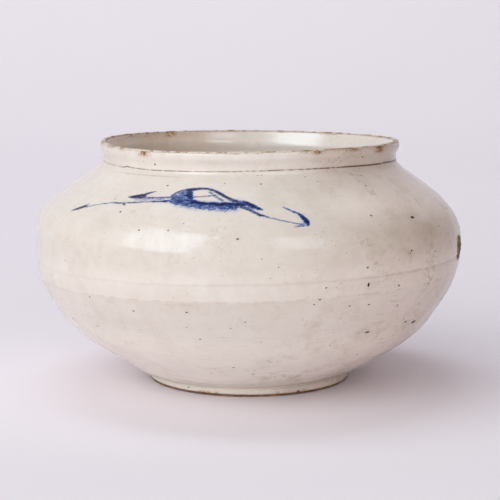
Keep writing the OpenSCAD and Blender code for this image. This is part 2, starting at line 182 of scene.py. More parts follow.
# Large iron spots: angle from the front, height, length round the jar, height of the spot
SPOTS = [(-30.8, 47.0, 1.3, 0.5), (-4.8, 40.5, 0.8, 0.6), (-1.0, 43.5, 0.9, 0.6), (30.5, 56.8, 1.1, 1.9),
         (16.2, 50.2, 1.0, 0.5), (31.8, 47.8, 1.2, 0.5), (55.8, 34.5, 3.2, 1.5), (50.2, 36.0, 1.7, 1.1),
         (35.2, 34.5, 2.2, 0.9), (31.0, 35.2, 0.7, 0.5), (28.8, 34.0, 0.5, 0.5), (38.0, 33.5, 0.5, 0.5),
         (49.8, 83.5, 2.2, 1.3), (42.2, 45.0, 0.7, 1.4), (1.5, 14.8, 1.2, 0.5), (-5.2, 19.8, 1.4, 0.5),
         (-14.2, 15.2, 1.1, 0.5), (-15.8, 47.8, 1.1, 0.45), (3.0, 70.8, 0.5, 0.5), (7.0, 67.2, 0.6, 0.6),
         (-20.8, 81.5, 0.8, 0.7), (-29.0, 81.0, 0.9, 0.8), (-37.8, 87.2, 1.0, 0.9), (-45.0, 51.0, 0.9, 0.5),
         (-13.8, 90.0, 0.8, 0.8), (19.8, 101.8, 0.7, 0.5), (2.8, 102.8, 0.7, 0.5), (4.2, 102.7, 0.6, 0.5),
         (43.8, 101.0, 0.7, 0.6), (-8.2, 99.5, 0.6, 0.5), (-48.0, 35.8, 0.9, 0.7), (60.0, 78.0, 0.8, 0.6),
         (-66.0, 22.0, 0.7, 0.5), (24.0, 30.0, 0.6, 0.6), (44.0, 68.0, 0.7, 0.7), (-37.0, 107.2, 0.8, 1.1),
         (-22.0, 110.0, 0.8, 0.7), (45.8, 108.8, 0.9, 0.9), (-36.0, 3.2, 0.9, 0.8), (28.0, 1.6, 1.4, 0.7),
         (110.0, 50.0, 0.9, 0.6), (135.0, 72.0, 0.9, 0.7), (165.0, 40.0, 1.2, 0.5),
         (-150.0, 58.0, 0.8, 0.6), (-120.0, 34.0, 0.9, 0.5), (-95.0, 70.0, 0.7, 0.6),
         (-170.0, 88.0, 0.8, 0.7), (95.0, 92.0, 0.8, 0.7)]

# The sizes and colours that a user would change

def length(name, description, default):
    return FloatProperty(name=name, description=description, default=default, unit="LENGTH")


def colour(name, description, *default):
    return FloatVectorProperty(
        name=name, description=description, default=default, size=3, subtype="COLOR", min=0, max=1)


def amount(name, description, default, **kind):
    return FloatProperty(name=name, description=description, default=default, min=0, **kind)


class JarSizes(bpy.types.PropertyGroup):
    """The jar's sizes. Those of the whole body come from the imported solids."""
    belly_radius: length("Belly radius", "Radius at the widest point", cad_high.x)
    height: length("Height", "Height of the crest above the ground", cad_high.z)
    belly_z: length("Belly height", "Height of the widest point", 0.065)
    shoulder_z: length("Shoulder height", "Height where the collar begins", 0.1042)
    crease_z: length("Foot height", "Height of the crease above the foot ring", 0.0045)
    crease_radius: length("Crease radius", "Radius at the crease above the foot", 0.047)
    foot_radius: length("Foot radius", "Radius of the foot ring at the ground, over the glaze", 0.0477)
    foot_in_radius: length("Foot inner radius", "Inner radius of the foot ring", 0.0417)
    recess_z: length("Recess height", "Height of the clay inside the foot ring", 0.0056)
    neck_radius: length("Neck radius", "Radius where the collar begins", 0.0685)
    neck_in_radius: length("Throat radius", "Inner radius of the collar", 0.0645)
    throat_z: length("Throat height", "Height where the hollow opens below the collar", 0.1015)
    floor_z: length("Floor height", "Height of the floor inside", 0.0121)
    hollow_radius: length("Hollow radius", "Inner radius at the widest point", 0.0945)
    lip_height: length("Lip height", "Height of the rounded lip", 0.0042)
    coat: length("Coat", "Thickness of the glaze", 0.0005)


class GlazeLook(bpy.types.PropertyGroup):
    """Colours and gloss of the glaze, the cobalt and the clay."""
    white: colour("White", "Main colour of the glaze", 0.75, 0.69, 0.635)
    cream: colour("Cream", "Warmer patches of the glaze", 0.71, 0.635, 0.565)
    milk: colour("Milk", "Thicker, cooler patches of the glaze", 0.78, 0.745, 0.705)
    low_tint: colour("Low tint", "Glaze below the belly's ledge", 0.70, 0.64, 0.585)
    ochre: colour("Ochre", "Brownish wisps and pooled glaze", 0.42, 0.33, 0.22)
    # Partly a real stain and partly painted shade: a warmer tint over the right side, which lies in shade
    stain: colour("Stain", "Tint of the stained side, laid over the glaze", 0.98, 0.86, 0.82)
    # Painted shade: a darker tint laid over the glaze where the jar lies in shade
    painted_shade: colour("Painted shade", "Tint of the places painted in shade, laid over the glaze", 0.80, 0.77, 0.73)
    tea: colour("Inner stain", "Brown stain inside the collar", 0.70, 0.46, 0.32)
    # Painted light: paler glaze low on the wall, which faces down into shade, and a painted highlight on the
    # right shoulder
    painted_light_white: colour("Painted light white", "Glaze lightened as painted light low on the wall and on the right shoulder", 0.90, 0.83, 0.76)
    rust: colour("Rust", "Iron burnt through at the lip", 0.36, 0.17, 0.075)
    crack: colour("Crack", "Dirt in the cracks", 0.15, 0.08, 0.042)
    cobalt_deep: colour("Deep cobalt", "Cobalt where it is thickest", 0.006, 0.013, 0.08)
    cobalt_mid: colour("Cobalt", "Cobalt of middling thickness", 0.034, 0.066, 0.235)
    cobalt_wash: colour("Cobalt wash", "Cobalt thinned with water", 0.125, 0.185, 0.385)
    cobalt_pale: colour("Pale cobalt", "Cobalt where it bleeds out", 0.37, 0.42, 0.55)
    cobalt_iron: colour("Iron cobalt", "Thick cobalt greyed by iron", 0.042, 0.034, 0.07)
    iron_mid: colour("Thin iron cobalt", "Thinner cobalt greyed by iron", 0.15, 0.14, 0.20)
    iron_pale: colour("Pale iron cobalt", "The faintest cobalt greyed by iron", 0.42, 0.39, 0.46)
    clay: colour("Clay", "Bare fired clay", 0.44, 0.31, 0.20)
    clay_dark: colour("Dark clay", "Clay flushed dark in the fire", 0.14, 0.07, 0.04)
    gloss: amount("Roughness", "Roughness of the glaze", 0.15, max=1, subtype="FACTOR")


class KilnMarks(bpy.types.PropertyGroup):
    """The marks of throwing and firing."""
    unevenness: length("Unevenness", "Height of the slow swells of the wall", 0.00016)
    ring_depth: length("Ring depth", "Depth of the throwing rings", 0.000028)
    groove_depth: length("Groove depth", "Depth of the lines round the belly", 0.00018)
    finger_depth: length("Finger depth", "Depth of the finger rings inside", 0.0002)
    finger_pitch: length("Finger pitch", "Distance between the finger rings inside", 0.0085)
    speck_density: amount("Speck density", "Small iron specks per square metre", 5200)
    speck_size: length("Speck size", "Radius of an average small speck", 0.00026)
    spot_height: amount(
        "Spot height", "How far a large iron spot stands out, as a share of its width", 0.12, max=1)
    grit_count: IntProperty(
        name="Grit", description="Grains of sand stuck along the foot", default=170, min=0)
    grit_size: length("Grit size", "Radius of an average grain", 0.00026)
    seed: IntProperty(name="Seed", description="Start of all random draws", default=7)


class StudioLook(bpy.types.PropertyGroup):
    """The floor, the backdrop, the lights and the camera."""
    paper: colour("Paper", "Colour of the floor and backdrop", 0.895, 0.842, 0.892)
    key_power: amount("Key", "Power of the large light at the left", 3.5, unit="POWER")
    front_power: amount("Front", "Power of the low light in front", 2.6, unit="POWER")
    left_sheen: amount("Left sheen", "Power of the panel mirrored at the left", 13.0, unit="POWER")
    right_sheen: amount("Right sheen", "Power of the panel mirrored at the right", 3.6, unit="POWER")
    backdrop_power: amount("Backdrop", "Power of the light on the backdrop", 13.2, unit="POWER")
    room: amount("Room light", "Strength of the even light all round", 0.14)
    window: amount("Window side", "Strength of the room's light from its window side", 1.16)
    window_turn: FloatProperty(
        name="Window turn", description="Where the room is brightest, turned from the front to the right",
        default=math.radians(-45), subtype="ANGLE")
    camera_distance: length("Camera distance", "From the jar's axis, along the ground", 0.7353)
    camera_height: length("Camera height", "Above the ground", 0.16707)
    camera_drop: FloatProperty(
        name="Camera tilt", description="How far the camera looks down", default=0.1442, subtype="ANGLE")
    camera_shift: FloatProperty(
        name="Camera shift", description="Sideways shift, as a share of the picture's width", default=0.0016)
    camera_lens: FloatProperty(
        name="Lens", description="Focal length in millimetres", default=112.28, min=1)


# The jar's shape, in millimetres and degrees. Turns are measured from the front to the right.

def mm(value):
    return value / MM


def bulge(share, powers):
    return (1 - np.clip(share, 0, 1) ** powers[0]) ** powers[1]


def smooth(low, high, x):
    """Rises softly from 0 at low to 1 at high, or falls where high is the lower."""
    t = np.clip((np.asarray(x, float) - low) / (high - low), 0, 1)
    return t * t * (3 - 2 * t)


def dome(x, middle, width):
    """Rises to 1 at the middle and dies away to both sides."""
    return np.exp(-((x - middle) / width) ** 2)


def outward(turn):
    """Level directions away from the jar's axis."""
    a = np.radians(turn)
    return np.stack([np.sin(a), -np.cos(a), np.zeros(len(a))], -1)


def turn_of(points):
    return np.degrees(np.arctan2(points[:, 0], -points[:, 1]))


def value_noise(points, scale, seed, octaves=3):
    """Smooth noise between about -1 and 1 at points, for a feature size."""
    off = Vector((seed * 17.3, seed * 5.1, seed * 11.7))
    return np.array([noise.fractal(Vector(p) / scale + off, 0.6, 2.0, octaves) for p in points])


class Shape:
    """The turned outline of the jar, with the tilts and warps that throwing and firing gave it."""

    # How far the lower wall swells past its plain curve, the height of that swell, and half its height
    swell_out, swell_z, swell_half_h = 1.4, 24.3, 13.1
    # How much fuller the wall is at the left, where the jar sagged a little, and how near the belly it stops
    left_swell, swell_gap = 1.9, 0.05
    # The slip ridge inside the belly joint
    ridge_out, ridge_z, ridge_half_h = 1.2, 60.25, 2.4
    # The lip, its flat crest, and how far the collar flares
    lip_out, lip_bulge, crest_w, collar_flare, lip_start_angle = 1.6, 0.9, 1.4, 0.5, -42
    # What stays bare below the crest and above the ground, the foot's bevel, and the slip on the foot
    lip_bare, foot_bare, foot_bevel, slip = 0.5, 1.1, 0.4, 0.5
    # How far the cove at the collar's foot reaches down the shoulder and up the collar, and the lip's cove
    cove_down, cove_up, lip_cove = 1.3, 2.2, 0.55
    # How far the collar sits off the jar's axis, to the right, and how much fuller it is at the left
    collar_aside, collar_full = 0.35, 0.4
    # How far down the inside of the collar opens out
    flare_h = 9.5
    # Lean and sink of the crease over the foot, lean of the belly's lines, and the rim's warp
    crease_lean, crease_lean_turn, crease_sink, belly_lean = 0.85, 0.26, 0.75, 2.2
    rim_lean, rim_twist, rim_sink, rim_rise, rim_rise_turn = 0.0056, 0.00017, 0.62, 0.75, -97
    # Heights of the joint line, of the fainter line above it and of the ledge below it
    joint_z, faint_z, ledge_z = 59.7, 63.9, 52.4
    # The share of the coat's thickness that its piece fills, and the collar's radius for rust and for warp
    coat_share, rust_r, mouth_r = 0.9, 69, 68.0

    def __init__(self):
        s = bpy.context.scene.jar_sizes
        self.belly_r, self.top = mm(s.belly_radius), mm(s.height)
        self.belly_z, self.shoulder_z = mm(s.belly_z), mm(s.shoulder_z)
        self.crease_z, self.crease_r = mm(s.crease_z), mm(s.crease_radius)
        self.foot_r, self.foot_in_r, self.recess_z = mm(s.foot_radius), mm(s.foot_in_radius), mm(s.recess_z)
        self.neck_r, self.neck_in_r, self.throat_z = mm(s.neck_radius), mm(s.neck_in_radius), mm(s.throat_z)
        self.floor_z, self.hollow_max = mm(s.floor_z), mm(s.hollow_radius)
        self.lip_h, self.coat = mm(s.lip_height), mm(s.coat)
        self.lip_z = self.top - self.lip_h
        self.lip_end_angle = math.degrees(math.asin(1 - 2 * self.lip_bare / self.lip_h))
        self.crest_out_r = self.neck_r + self.lip_out - self.lip_bulge
        self.crest_in_r = self.crest_out_r - self.crest_w

    def ridge(self, z, middle, half_h, most):
        d = np.clip(np.abs(z - middle) / half_h, 0, 1)
        return most * np.cos(np.pi / 2 * d) ** 2

    def wall(self, z, widest, foot_z, foot_r, neck_z, neck_r, low_powers):
        """The radius of a wall that is widest at the belly."""
        low = foot_r + (widest - foot_r) * bulge((self.belly_z - z) / (self.belly_z - foot_z), low_powers)
        high = neck_r + (widest - neck_r) * bulge((z - self.belly_z) / (neck_z - self.belly_z), UPPER_POWERS)
        return low, high

    def skin(self, z):
        """The radius outside, over the glaze."""
        z = np.asarray(z, float)
        low, high = self.wall(z, self.belly_r, self.crease_z, self.crease_r, self.shoulder_z, self.neck_r,
                              LOWER_POWERS)
        low = low + self.ridge(z, self.swell_z, self.swell_half_h, self.swell_out)
        return np.where(z < self.belly_z, low, high)

    def hollow(self, z):
        """The radius inside, over the glaze."""
        z = np.asarray(z, float)
        low, high = self.wall(z, self.hollow_max, self.floor_z, 0, self.throat_z, self.neck_in_r,
                              INSIDE_POWERS)
        slip = self.ridge(z, self.ridge_z, self.ridge_half_h, self.ridge_out)
        return np.where(z < self.belly_z, low, high) - slip

    def below_ledge(self, h):
        return smooth(self.ledge_z + 0.5, self.ledge_z - 0.5, h)

    def foot_side(self, z):
        return self.foot_r - (self.foot_r - self.crease_r) * z / self.crease_z

    def shift(self, turn, h, r):
        """How far a point lies above its nominal height h, where lines lean and the rim warps."""
        a = np.radians(turn)
        x, y = r * np.sin(a), -r * np.cos(a)
        crease = self.crease_lean * np.sin(a + self.crease_lean_turn) - self.crease_sink
        crease = crease * smooth(self.foot_bare, self.crease_z, h) * smooth(17, 5, h)
        belly = self.belly_lean * np.sin(a) * r / self.belly_r * smooth(24, 44, h) * smooth(80, 66, h)
        rim = self.rim_lean * x - self.rim_sink - self.rim_twist * x * y
        rim = rim + self.rim_rise * dome(turn, self.rim_rise_turn, 38)
        return crease + belly + rim * smooth(100.5, 109.5, h)

    def place(self, turn, h, r, follow=0):
        """Points at turns, nominal heights and radii. Where follow is 1 they lie on the skin."""
        z = h + self.shift(turn, h, r)
        middle = smooth(8, 15, h) * smooth(103.5, 98, h) * follow
        r = r * (1 - middle) + self.skin(z) * middle
        fuller = self.left_swell * dome(turn, -90, 55) * smooth(14, 40, z) * smooth(96, 80, z)
        most = self.belly_r - self.swell_gap
        r = np.where(r > most, r, np.minimum(r + fuller, most))
        a = np.radians(turn)
        return np.stack([r * np.sin(a) + self.aside(z), -r * np.cos(a), z], -1)

    def aside(self, z):
        return self.collar_aside * smooth(99, 104.5, z)

    def outline(self):
        """Points (radius, height) of the glazed outside, from the bare foot to the bare crest."""
        foot = [(self.foot_side(z), z) for z in np.linspace(self.foot_bare, self.crease_z, 30)]
        bend = 3
        wall_z = np.concatenate([
            self.crease_z + bend * np.linspace(0, 1, 60)[1:] ** 2,
            np.linspace(self.crease_z + bend, self.shoulder_z - self.cove_down, 900)[1:]])
        wall = list(zip(self.skin(wall_z), wall_z))
        neck_z = np.linspace(self.shoulder_z + self.cove_up, self.lip_z, 40)
        t = (neck_z - self.shoulder_z) / (self.lip_z - self.shoulder_z)
        neck_r = self.neck_r + self.collar_flare * t ** 1.5 + self.lip_cove * smooth(0.45, 1.1, t) ** 1.5
        neck = list(zip(neck_r, neck_z))
        low, corner, high = np.array(wall[-1]), np.array([self.neck_r, self.shoulder_z]), np.array(neck[0])
        cove = [tuple((1 - u) ** 2 * low + 2 * u * (1 - u) * corner + u ** 2 * high)
                for u in np.linspace(0, 1, 20)[1:-1]]
        lip = [self.lip_point(a) for a in np.linspace(self.lip_start_angle, self.lip_end_angle, 40)]
        return np.array(foot + wall + cove + neck + lip)

    def lip_point(self, angle):
        a = math.radians(angle)
        half = self.lip_h / 2
        return self.crest_out_r + self.lip_bulge * math.cos(a), self.top - half + half * math.sin(a)

    def lip_in(self, z):
        """The radius inside the collar, which opens out gently towards the crest."""
        t = np.clip((z - self.top + self.flare_h) / self.flare_h, 0, 1)
        return self.neck_in_r + (self.crest_in_r - self.neck_in_r) * t ** 1.7


# Meshes

def new_object(name, points, faces, edges=()):
    """A smooth mesh object from points in millimetres."""
    mesh = bpy.data.meshes.new(name)
    mesh.from_pydata([tuple(p) for p in np.asarray(points) * MM], edges, faces)
    mesh.validate()
    mesh.shade_smooth()
    obj = bpy.data.objects.new(name, mesh)
    bpy.context.scene.collection.objects.link(obj)
    return obj


def read_points(obj):
    """A mesh object's points, in millimetres."""
    flat = np.zeros(len(obj.data.vertices) * 3)
    obj.data.vertices.foreach_get("co", flat)
    return flat.reshape(-1, 3) / MM


def write_points(obj, points):
    obj.data.vertices.foreach_set("co", (points * MM).ravel())
    obj.data.update()


def paint(obj, name, values):
    layer = obj.data.attributes.new(name, "FLOAT", "POINT")
    layer.data.foreach_set("value", np.asarray(values, np.float32))


def finish_piece(obj, material, slot, *nodes):
    """Gives a piece its material and its body, and hides the solids that it stands for. The slot is not
    used.
    """
    obj.data.materials.clear()
    obj.data.materials.append(material)
    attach(obj, "root")
    if nodes:
        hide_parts(*nodes)


def fill_grid(rows, columns, first=0):
    """Quads between rows of points, each row running round to its start."""
    return [
        (first + i * columns + j, first + i * columns + (j + 1) % columns,
         first + (i + 1) * columns + (j + 1) % columns, first + (i + 1) * columns + j)
        for i in range(rows - 1) for j in range(columns)]


def spaced(total, step_at, start=0.0):
    """Places from start to start + total, stepped by a function of the place."""
    out = [start]
    while out[-1] < start + total:
        out.append(out[-1] + step_at(out[-1]))
    out = np.array(out)
    return start + (out - start) * total / (out[-1] - start)


def outline_object(name, points, relief):
    """A chain of edges in the XZ plane for turning. Its ends lie on the axis or meet."""
    points = np.asarray(points, float)
    flat = np.stack([points[:, 0], np.zeros(len(points)), points[:, 1]], -1)
    obj = new_object(name, flat, [], [(i, i + 1) for i in range(len(points) - 1)])
    paint(obj, "relief", relief)
    steps = np.linalg.norm(np.diff(flat * MM, axis=0), axis=1)
    paint(obj, "travel", np.concatenate([[0], np.cumsum(steps)]))
    return obj


def face_outwards(obj, merge=0.0):
    """Merges what lies within a distance in metres, and turns the faces of a closed mesh outwards."""
    work = bmesh.new()
    work.from_mesh(obj.data)
    if merge:
        bmesh.ops.remove_doubles(work, verts=work.verts, dist=merge)
    bmesh.ops.dissolve_degenerate(work, dist=1e-7, edges=work.edges)
    bmesh.ops.recalc_face_normals(work, faces=work.faces)
    if work.calc_volume(signed=True) < 0:
        bmesh.ops.reverse_faces(work, faces=work.faces)
    work.to_mesh(obj.data)
    work.free()
    obj.data.shade_smooth()


def warp(obj, shape):
    """Gives a turned piece the collar's place and the rim's warp."""
    p = read_points(obj)
    z = p[:, 2].copy()
    p[:, 2] += shape.shift(turn_of(p), z, np.hypot(p[:, 0], p[:, 1])) * smooth(95, 98, z)
    p[:, 0] += shape.aside(z)
    write_points(obj, p)


# Node trees

class NodeCalls:
    """A node tree that is laid out by calls."""

    def __init__(self, tree):
        self.tree = tree

    def node(self, kind, props=None, **inputs):
        """Adds a node with its settings and inputs. An underscore stands for a space in an input's name."""
        made = self.tree.nodes.new(kind)
        for key, value in (props or {}).items():
            setattr(made, key, value)
        for key, value in inputs.items():
            self.put(made.inputs[key.replace("_", " ")], value)
        return made

    def put(self, socket, value):
        """Links a node or an output to a socket, or sets the socket's own value."""
        if isinstance(value, bpy.types.Node):
            value = value.outputs[0]
        if isinstance(value, bpy.types.NodeSocket):
            self.tree.links.new(value, socket)
        else:
            socket.default_value = value

    def math(self, operation, a, b=None, clamp=False):
        made = self.node("ShaderNodeMath", {"operation": operation, "use_clamp": clamp})
        self.put(made.inputs[0], a)
        if b is not None:
            self.put(made.inputs[1], b)
        return made.outputs[0]

    def times(self, a, b, clamp=False):
        return self.math("MULTIPLY", a, b, clamp)

    def plus(self, a, b, clamp=False):
        return self.math("ADD", a, b, clamp)


class Tree(NodeCalls):
    """A Geometry Nodes tree with named inputs for its sizes and for its material."""

    def __init__(self, name, sizes):
        super().__init__(bpy.data.node_groups.new(name, "GeometryNodeTree"))
        self.ids = {}
        self.socket("Geometry", "NodeSocketGeometry")
        self.tree.interface.new_socket("Geometry", in_out="OUTPUT", socket_type="NodeSocketGeometry")
        for key, value in sizes.items():
            kind = "NodeSocketInt" if isinstance(value, int) else "NodeSocketFloat"
            self.socket(key, kind).default_value = value
        self.socket("Finish", "NodeSocketMaterial")
        self.start = self.tree.nodes.new("NodeGroupInput")
        self.end = self.tree.nodes.new("NodeGroupOutput")

    def socket(self, name, kind):
        made = self.tree.interface.new_socket(name, in_out="INPUT", socket_type=kind)
        self.ids[name] = made.identifier
        return made

    def given(self, name):
        return self.start.outputs[name]

    def stored(self, name, kind="FLOAT"):
        return self.node("GeometryNodeInputNamedAttribute", {"data_type": kind}, Name=name).outputs[0]

    def scaled(self, vector, size):
        made = self.node("ShaderNodeVectorMath", {"operation": "SCALE"}, Scale=size)
        self.put(made.inputs[0], vector)
        return made.outputs[0]

    def combined(self, x, y, z):
        return self.node("ShaderNodeCombineXYZ", X=x, Y=y, Z=z)

    def draw(self, low, high, seed):
        """A random number between two numbers, or a random vector between two vectors."""
        kind, first, out = ("FLOAT_VECTOR", 0, 0) if isinstance(low, tuple) else ("FLOAT", 2, 1)
        made = self.node("FunctionNodeRandomValue", {"data_type": kind}, Seed=seed)
        self.put(made.inputs[first], low)
        self.put(made.inputs[first + 1], high)
        return made.outputs[out]

    def uneven(self, scale, detail, height):
        """Noise of the given height, half of it below nothing."""
        made = self.node("ShaderNodeTexNoise", {"noise_dimensions": "4D"}, W=self.given("Seed"),
                         Vector=self.node("GeometryNodeInputPosition"), Scale=scale, Detail=detail)
        return self.times(self.math("SUBTRACT", made.outputs[0], 0.5), height)

    def pushed(self, geometry, depth):
        """Moves the points along their normals."""
        push = self.scaled(self.node("GeometryNodeInputNormal").outputs[0], depth)
        return self.node("GeometryNodeSetPosition", Geometry=geometry, Offset=push)

    def finish(self, geometry):
        """Ends the tree in smooth faces, Realize Instances and Set Material."""
        shaded = self.node("GeometryNodeSetShadeSmooth", Geometry=geometry)
        real = self.node("GeometryNodeRealizeInstances", Geometry=shaded)
        dressed = self.node("GeometryNodeSetMaterial", Geometry=real, Material=self.given("Finish"))
        self.tree.links.new(dressed.outputs[0], self.end.inputs[0])
        return self

    def run(self, obj, name, values):
        """Runs the tree on an object, which goes, and returns the result as a plain mesh object."""
        modifier = obj.modifiers.new("shape", "NODES")
        modifier.node_group = self.tree
        for key, value in values.items():
            modifier[self.ids[key]] = value
        graph = bpy.context.evaluated_depsgraph_get()
        mesh = bpy.data.meshes.new_from_object(obj.evaluated_get(graph), depsgraph=graph)
        bpy.data.objects.remove(obj)
        if not mesh.polygons:
            raise RuntimeError(f"{name} came out empty")
        mesh.name = name
        mesh.materials.clear()
        mesh.materials.append(values["Finish"])
        mesh.polygons.foreach_set("material_index", np.zeros(len(mesh.polygons), np.int32))
        made = bpy.data.objects.new(name, mesh)
        bpy.context.scene.collection.objects.link(made)
        return made


def turning_tree():
    """Turns an outline round the jar's axis, with finger rings that wind along it."""
    t = Tree("turned_coat", {"Steps round": 240, "Ring depth": 0.0, "Ring pitch": 0.008, "Wander": 0.0,
                             "Wander size": 30.0, "Seed": 1.0})
    outline = t.given("Geometry")
    here = t.node("GeometryNodeInputPosition")
    count = t.node("GeometryNodeAttributeDomainSize", Geometry=outline).outputs["Point Count"]
    grid = t.node("GeometryNodeMeshGrid", Size_X=1.0, Size_Y=1.0,
                  Vertices_X=t.plus(t.given("Steps round"), 1.0), Vertices_Y=t.plus(count, 1.0))
    place = t.node("ShaderNodeSeparateXYZ", Vector=here)
    turn = t.times(place.outputs[0], math.tau)
    row = t.math("ROUND", t.times(t.plus(place.outputs[1], 0.5), count))
    row = t.math("MODULO", row, count)

    def along(value, kind="FLOAT"):
        """The outline's value in a grid point's row."""
        return t.node("GeometryNodeSampleIndex", {"data_type": kind, "domain": "POINT"},
                      Geometry=outline, Value=value, Index=row).outputs[0]

    radius, _, height = t.node("ShaderNodeSeparateXYZ", Vector=along(here, "FLOAT_VECTOR")).outputs
    behind = t.times(t.math("COSINE", turn), -1.0)
    spun = t.combined(t.times(radius, t.math("SINE", turn)), t.times(radius, behind), height)
    kept = grid
    layers = {"relief": along(t.stored("relief")), "travel": along(t.stored("travel")), "turn": turn}
    for name, value in layers.items():
        kept = t.node("GeometryNodeStoreNamedAttribute", {"data_type": "FLOAT", "domain": "POINT"},
                      Geometry=kept, Name=name, Value=value)
    wall = t.node("GeometryNodeSetPosition", Geometry=kept, Position=spun)
    closed = t.node("GeometryNodeMergeByDistance", Geometry=wall, Distance=0.000002)
    wound = t.math("DIVIDE", t.times(t.stored("travel"), math.tau), t.given("Ring pitch"))
    rings = t.times(t.math("SINE", t.plus(wound, t.stored("turn"))), t.given("Ring depth"))
    wander = t.uneven(t.given("Wander size"), 3.0, t.given("Wander"))
    return t.finish(t.pushed(closed, t.times(t.plus(rings, wander), t.stored("relief"))))


def scatter_tree():
    """Strews small rounded grains over a surface, more where its speck attribute is high."""
    t = Tree("iron_specks", {"Density": 1000.0, "Size": 0.0002, "Flatness": 0.3, "Seed": 1})
    seed = t.given("Seed")
    points = t.node("GeometryNodeDistributePointsOnFaces", Mesh=t.given("Geometry"), Seed=seed,
                    Density=t.times(t.stored("speck"), t.given("Density")))
    grain = t.node("GeometryNodeMeshIcoSphere", Radius=1.0, Subdivisions=1)
    big = t.plus(0.7, t.times(t.math("POWER", t.draw(0.0, 1.0, seed), 4.0), 1.7))
    width = t.times(big, t.given("Size"))
    scale = t.combined(t.times(width, 1.25), t.times(width, 0.8), t.times(width, t.given("Flatness")))
    spin = t.draw(-0.9, 0.9, t.plus(seed, 1.0))
    axis = t.node("FunctionNodeAxisAngleToRotation", Axis=(0, 0, 1), Angle=spin)
    turned = t.node("FunctionNodeRotateRotation", {"rotation_space": "LOCAL"},
                    Rotation=points.outputs["Rotation"], Rotate_By=axis)
    return t.finish(t.node("GeometryNodeInstanceOnPoints", Points=points, Instance=grain,
                           Rotation=turned, Scale=scale))


def spot_tree():
    """Sets a flattened, ragged grain on each given point, turned to face along the point's normal."""
    t = Tree("iron_spots", {"Height": 0.12, "Seed": 1})
    grain = t.node("GeometryNodeMeshIcoSphere", Radius=1.0, Subdivisions=3)
    facing = t.node("FunctionNodeAlignRotationToVector", {"axis": "Z", "pivot_axis": "AUTO"},
                    Vector=t.stored("facing", "FLOAT_VECTOR"))
    upright = t.node("FunctionNodeAlignRotationToVector", {"axis": "X", "pivot_axis": "Z"},
                     Rotation=facing, Vector=t.stored("level", "FLOAT_VECTOR"))
    width = t.stored("spot_width")
    scale = t.combined(width, t.stored("spot_height"), t.times(width, t.given("Height")))
    grains = t.node("GeometryNodeInstanceOnPoints", Points=t.given("Geometry"), Instance=grain,
                    Rotation=upright, Scale=scale)
    real = t.node("GeometryNodeRealizeInstances", Geometry=grains)
    return t.finish(t.pushed(real, t.uneven(2600.0, 2.0, 0.00035)))


def grit_tree():
    """Sets grains of sand along a ring at the foot."""
    t = Tree("foot_grit", {"Count": 100, "Size": 0.0003, "Spread": 0.0004, "Seed": 1})
    seed = t.given("Seed")
    path = t.node("GeometryNodeMeshToCurve", Mesh=t.given("Geometry"))
    points = t.node("GeometryNodeCurveToPoints", {"mode": "COUNT"}, Curve=path, Count=t.given("Count"))
    stray = t.scaled(t.draw((-1, -1, 0), (1, 1, 1), seed), t.given("Spread"))
    strewn = t.node("GeometryNodeSetPosition", Geometry=points, Offset=stray)
    grain = t.node("GeometryNodeMeshIcoSphere", Radius=1.0, Subdivisions=1)
    size = t.draw((0.4, 0.4, 0.3), (1.3, 1.1, 0.8), t.plus(seed, 1.0))
    return t.finish(t.node("GeometryNodeInstanceOnPoints", Points=strewn, Instance=grain,
                           Scale=t.scaled(size, t.given("Size"))))


# Materials

# The refraction of glaze, the colours of clay's sand and of slip, and the flush of the clay at the lip
GLAZE_IOR = 1.5
SAND = (0.62, 0.5, 0.38)
SLIP, WIPED_SLIP, SLIP_GRAIN = (0.34, 0.25, 0.18), (0.25, 0.18, 0.13), (0.5, 0.4, 0.3)
LIP_FLUSH = (0.25, 0.13, 0.065)

# Darkest and lightest colour, and roughness, of iron, crust and sand
IRON_LOOKS = {
    "kiln_crust_look": ((0.075, 0.052, 0.035), (0.31, 0.19, 0.12), 0.75),
    "iron_speck_look": ((0.05, 0.03, 0.022), (0.19, 0.115, 0.07), 0.4),
    "iron_spot_look": ((0.012, 0.009, 0.008), (0.08, 0.048, 0.03), 0.6),
    "foot_grit_look": ((0.2, 0.12, 0.07), (0.5, 0.4, 0.3), 0.7),
}


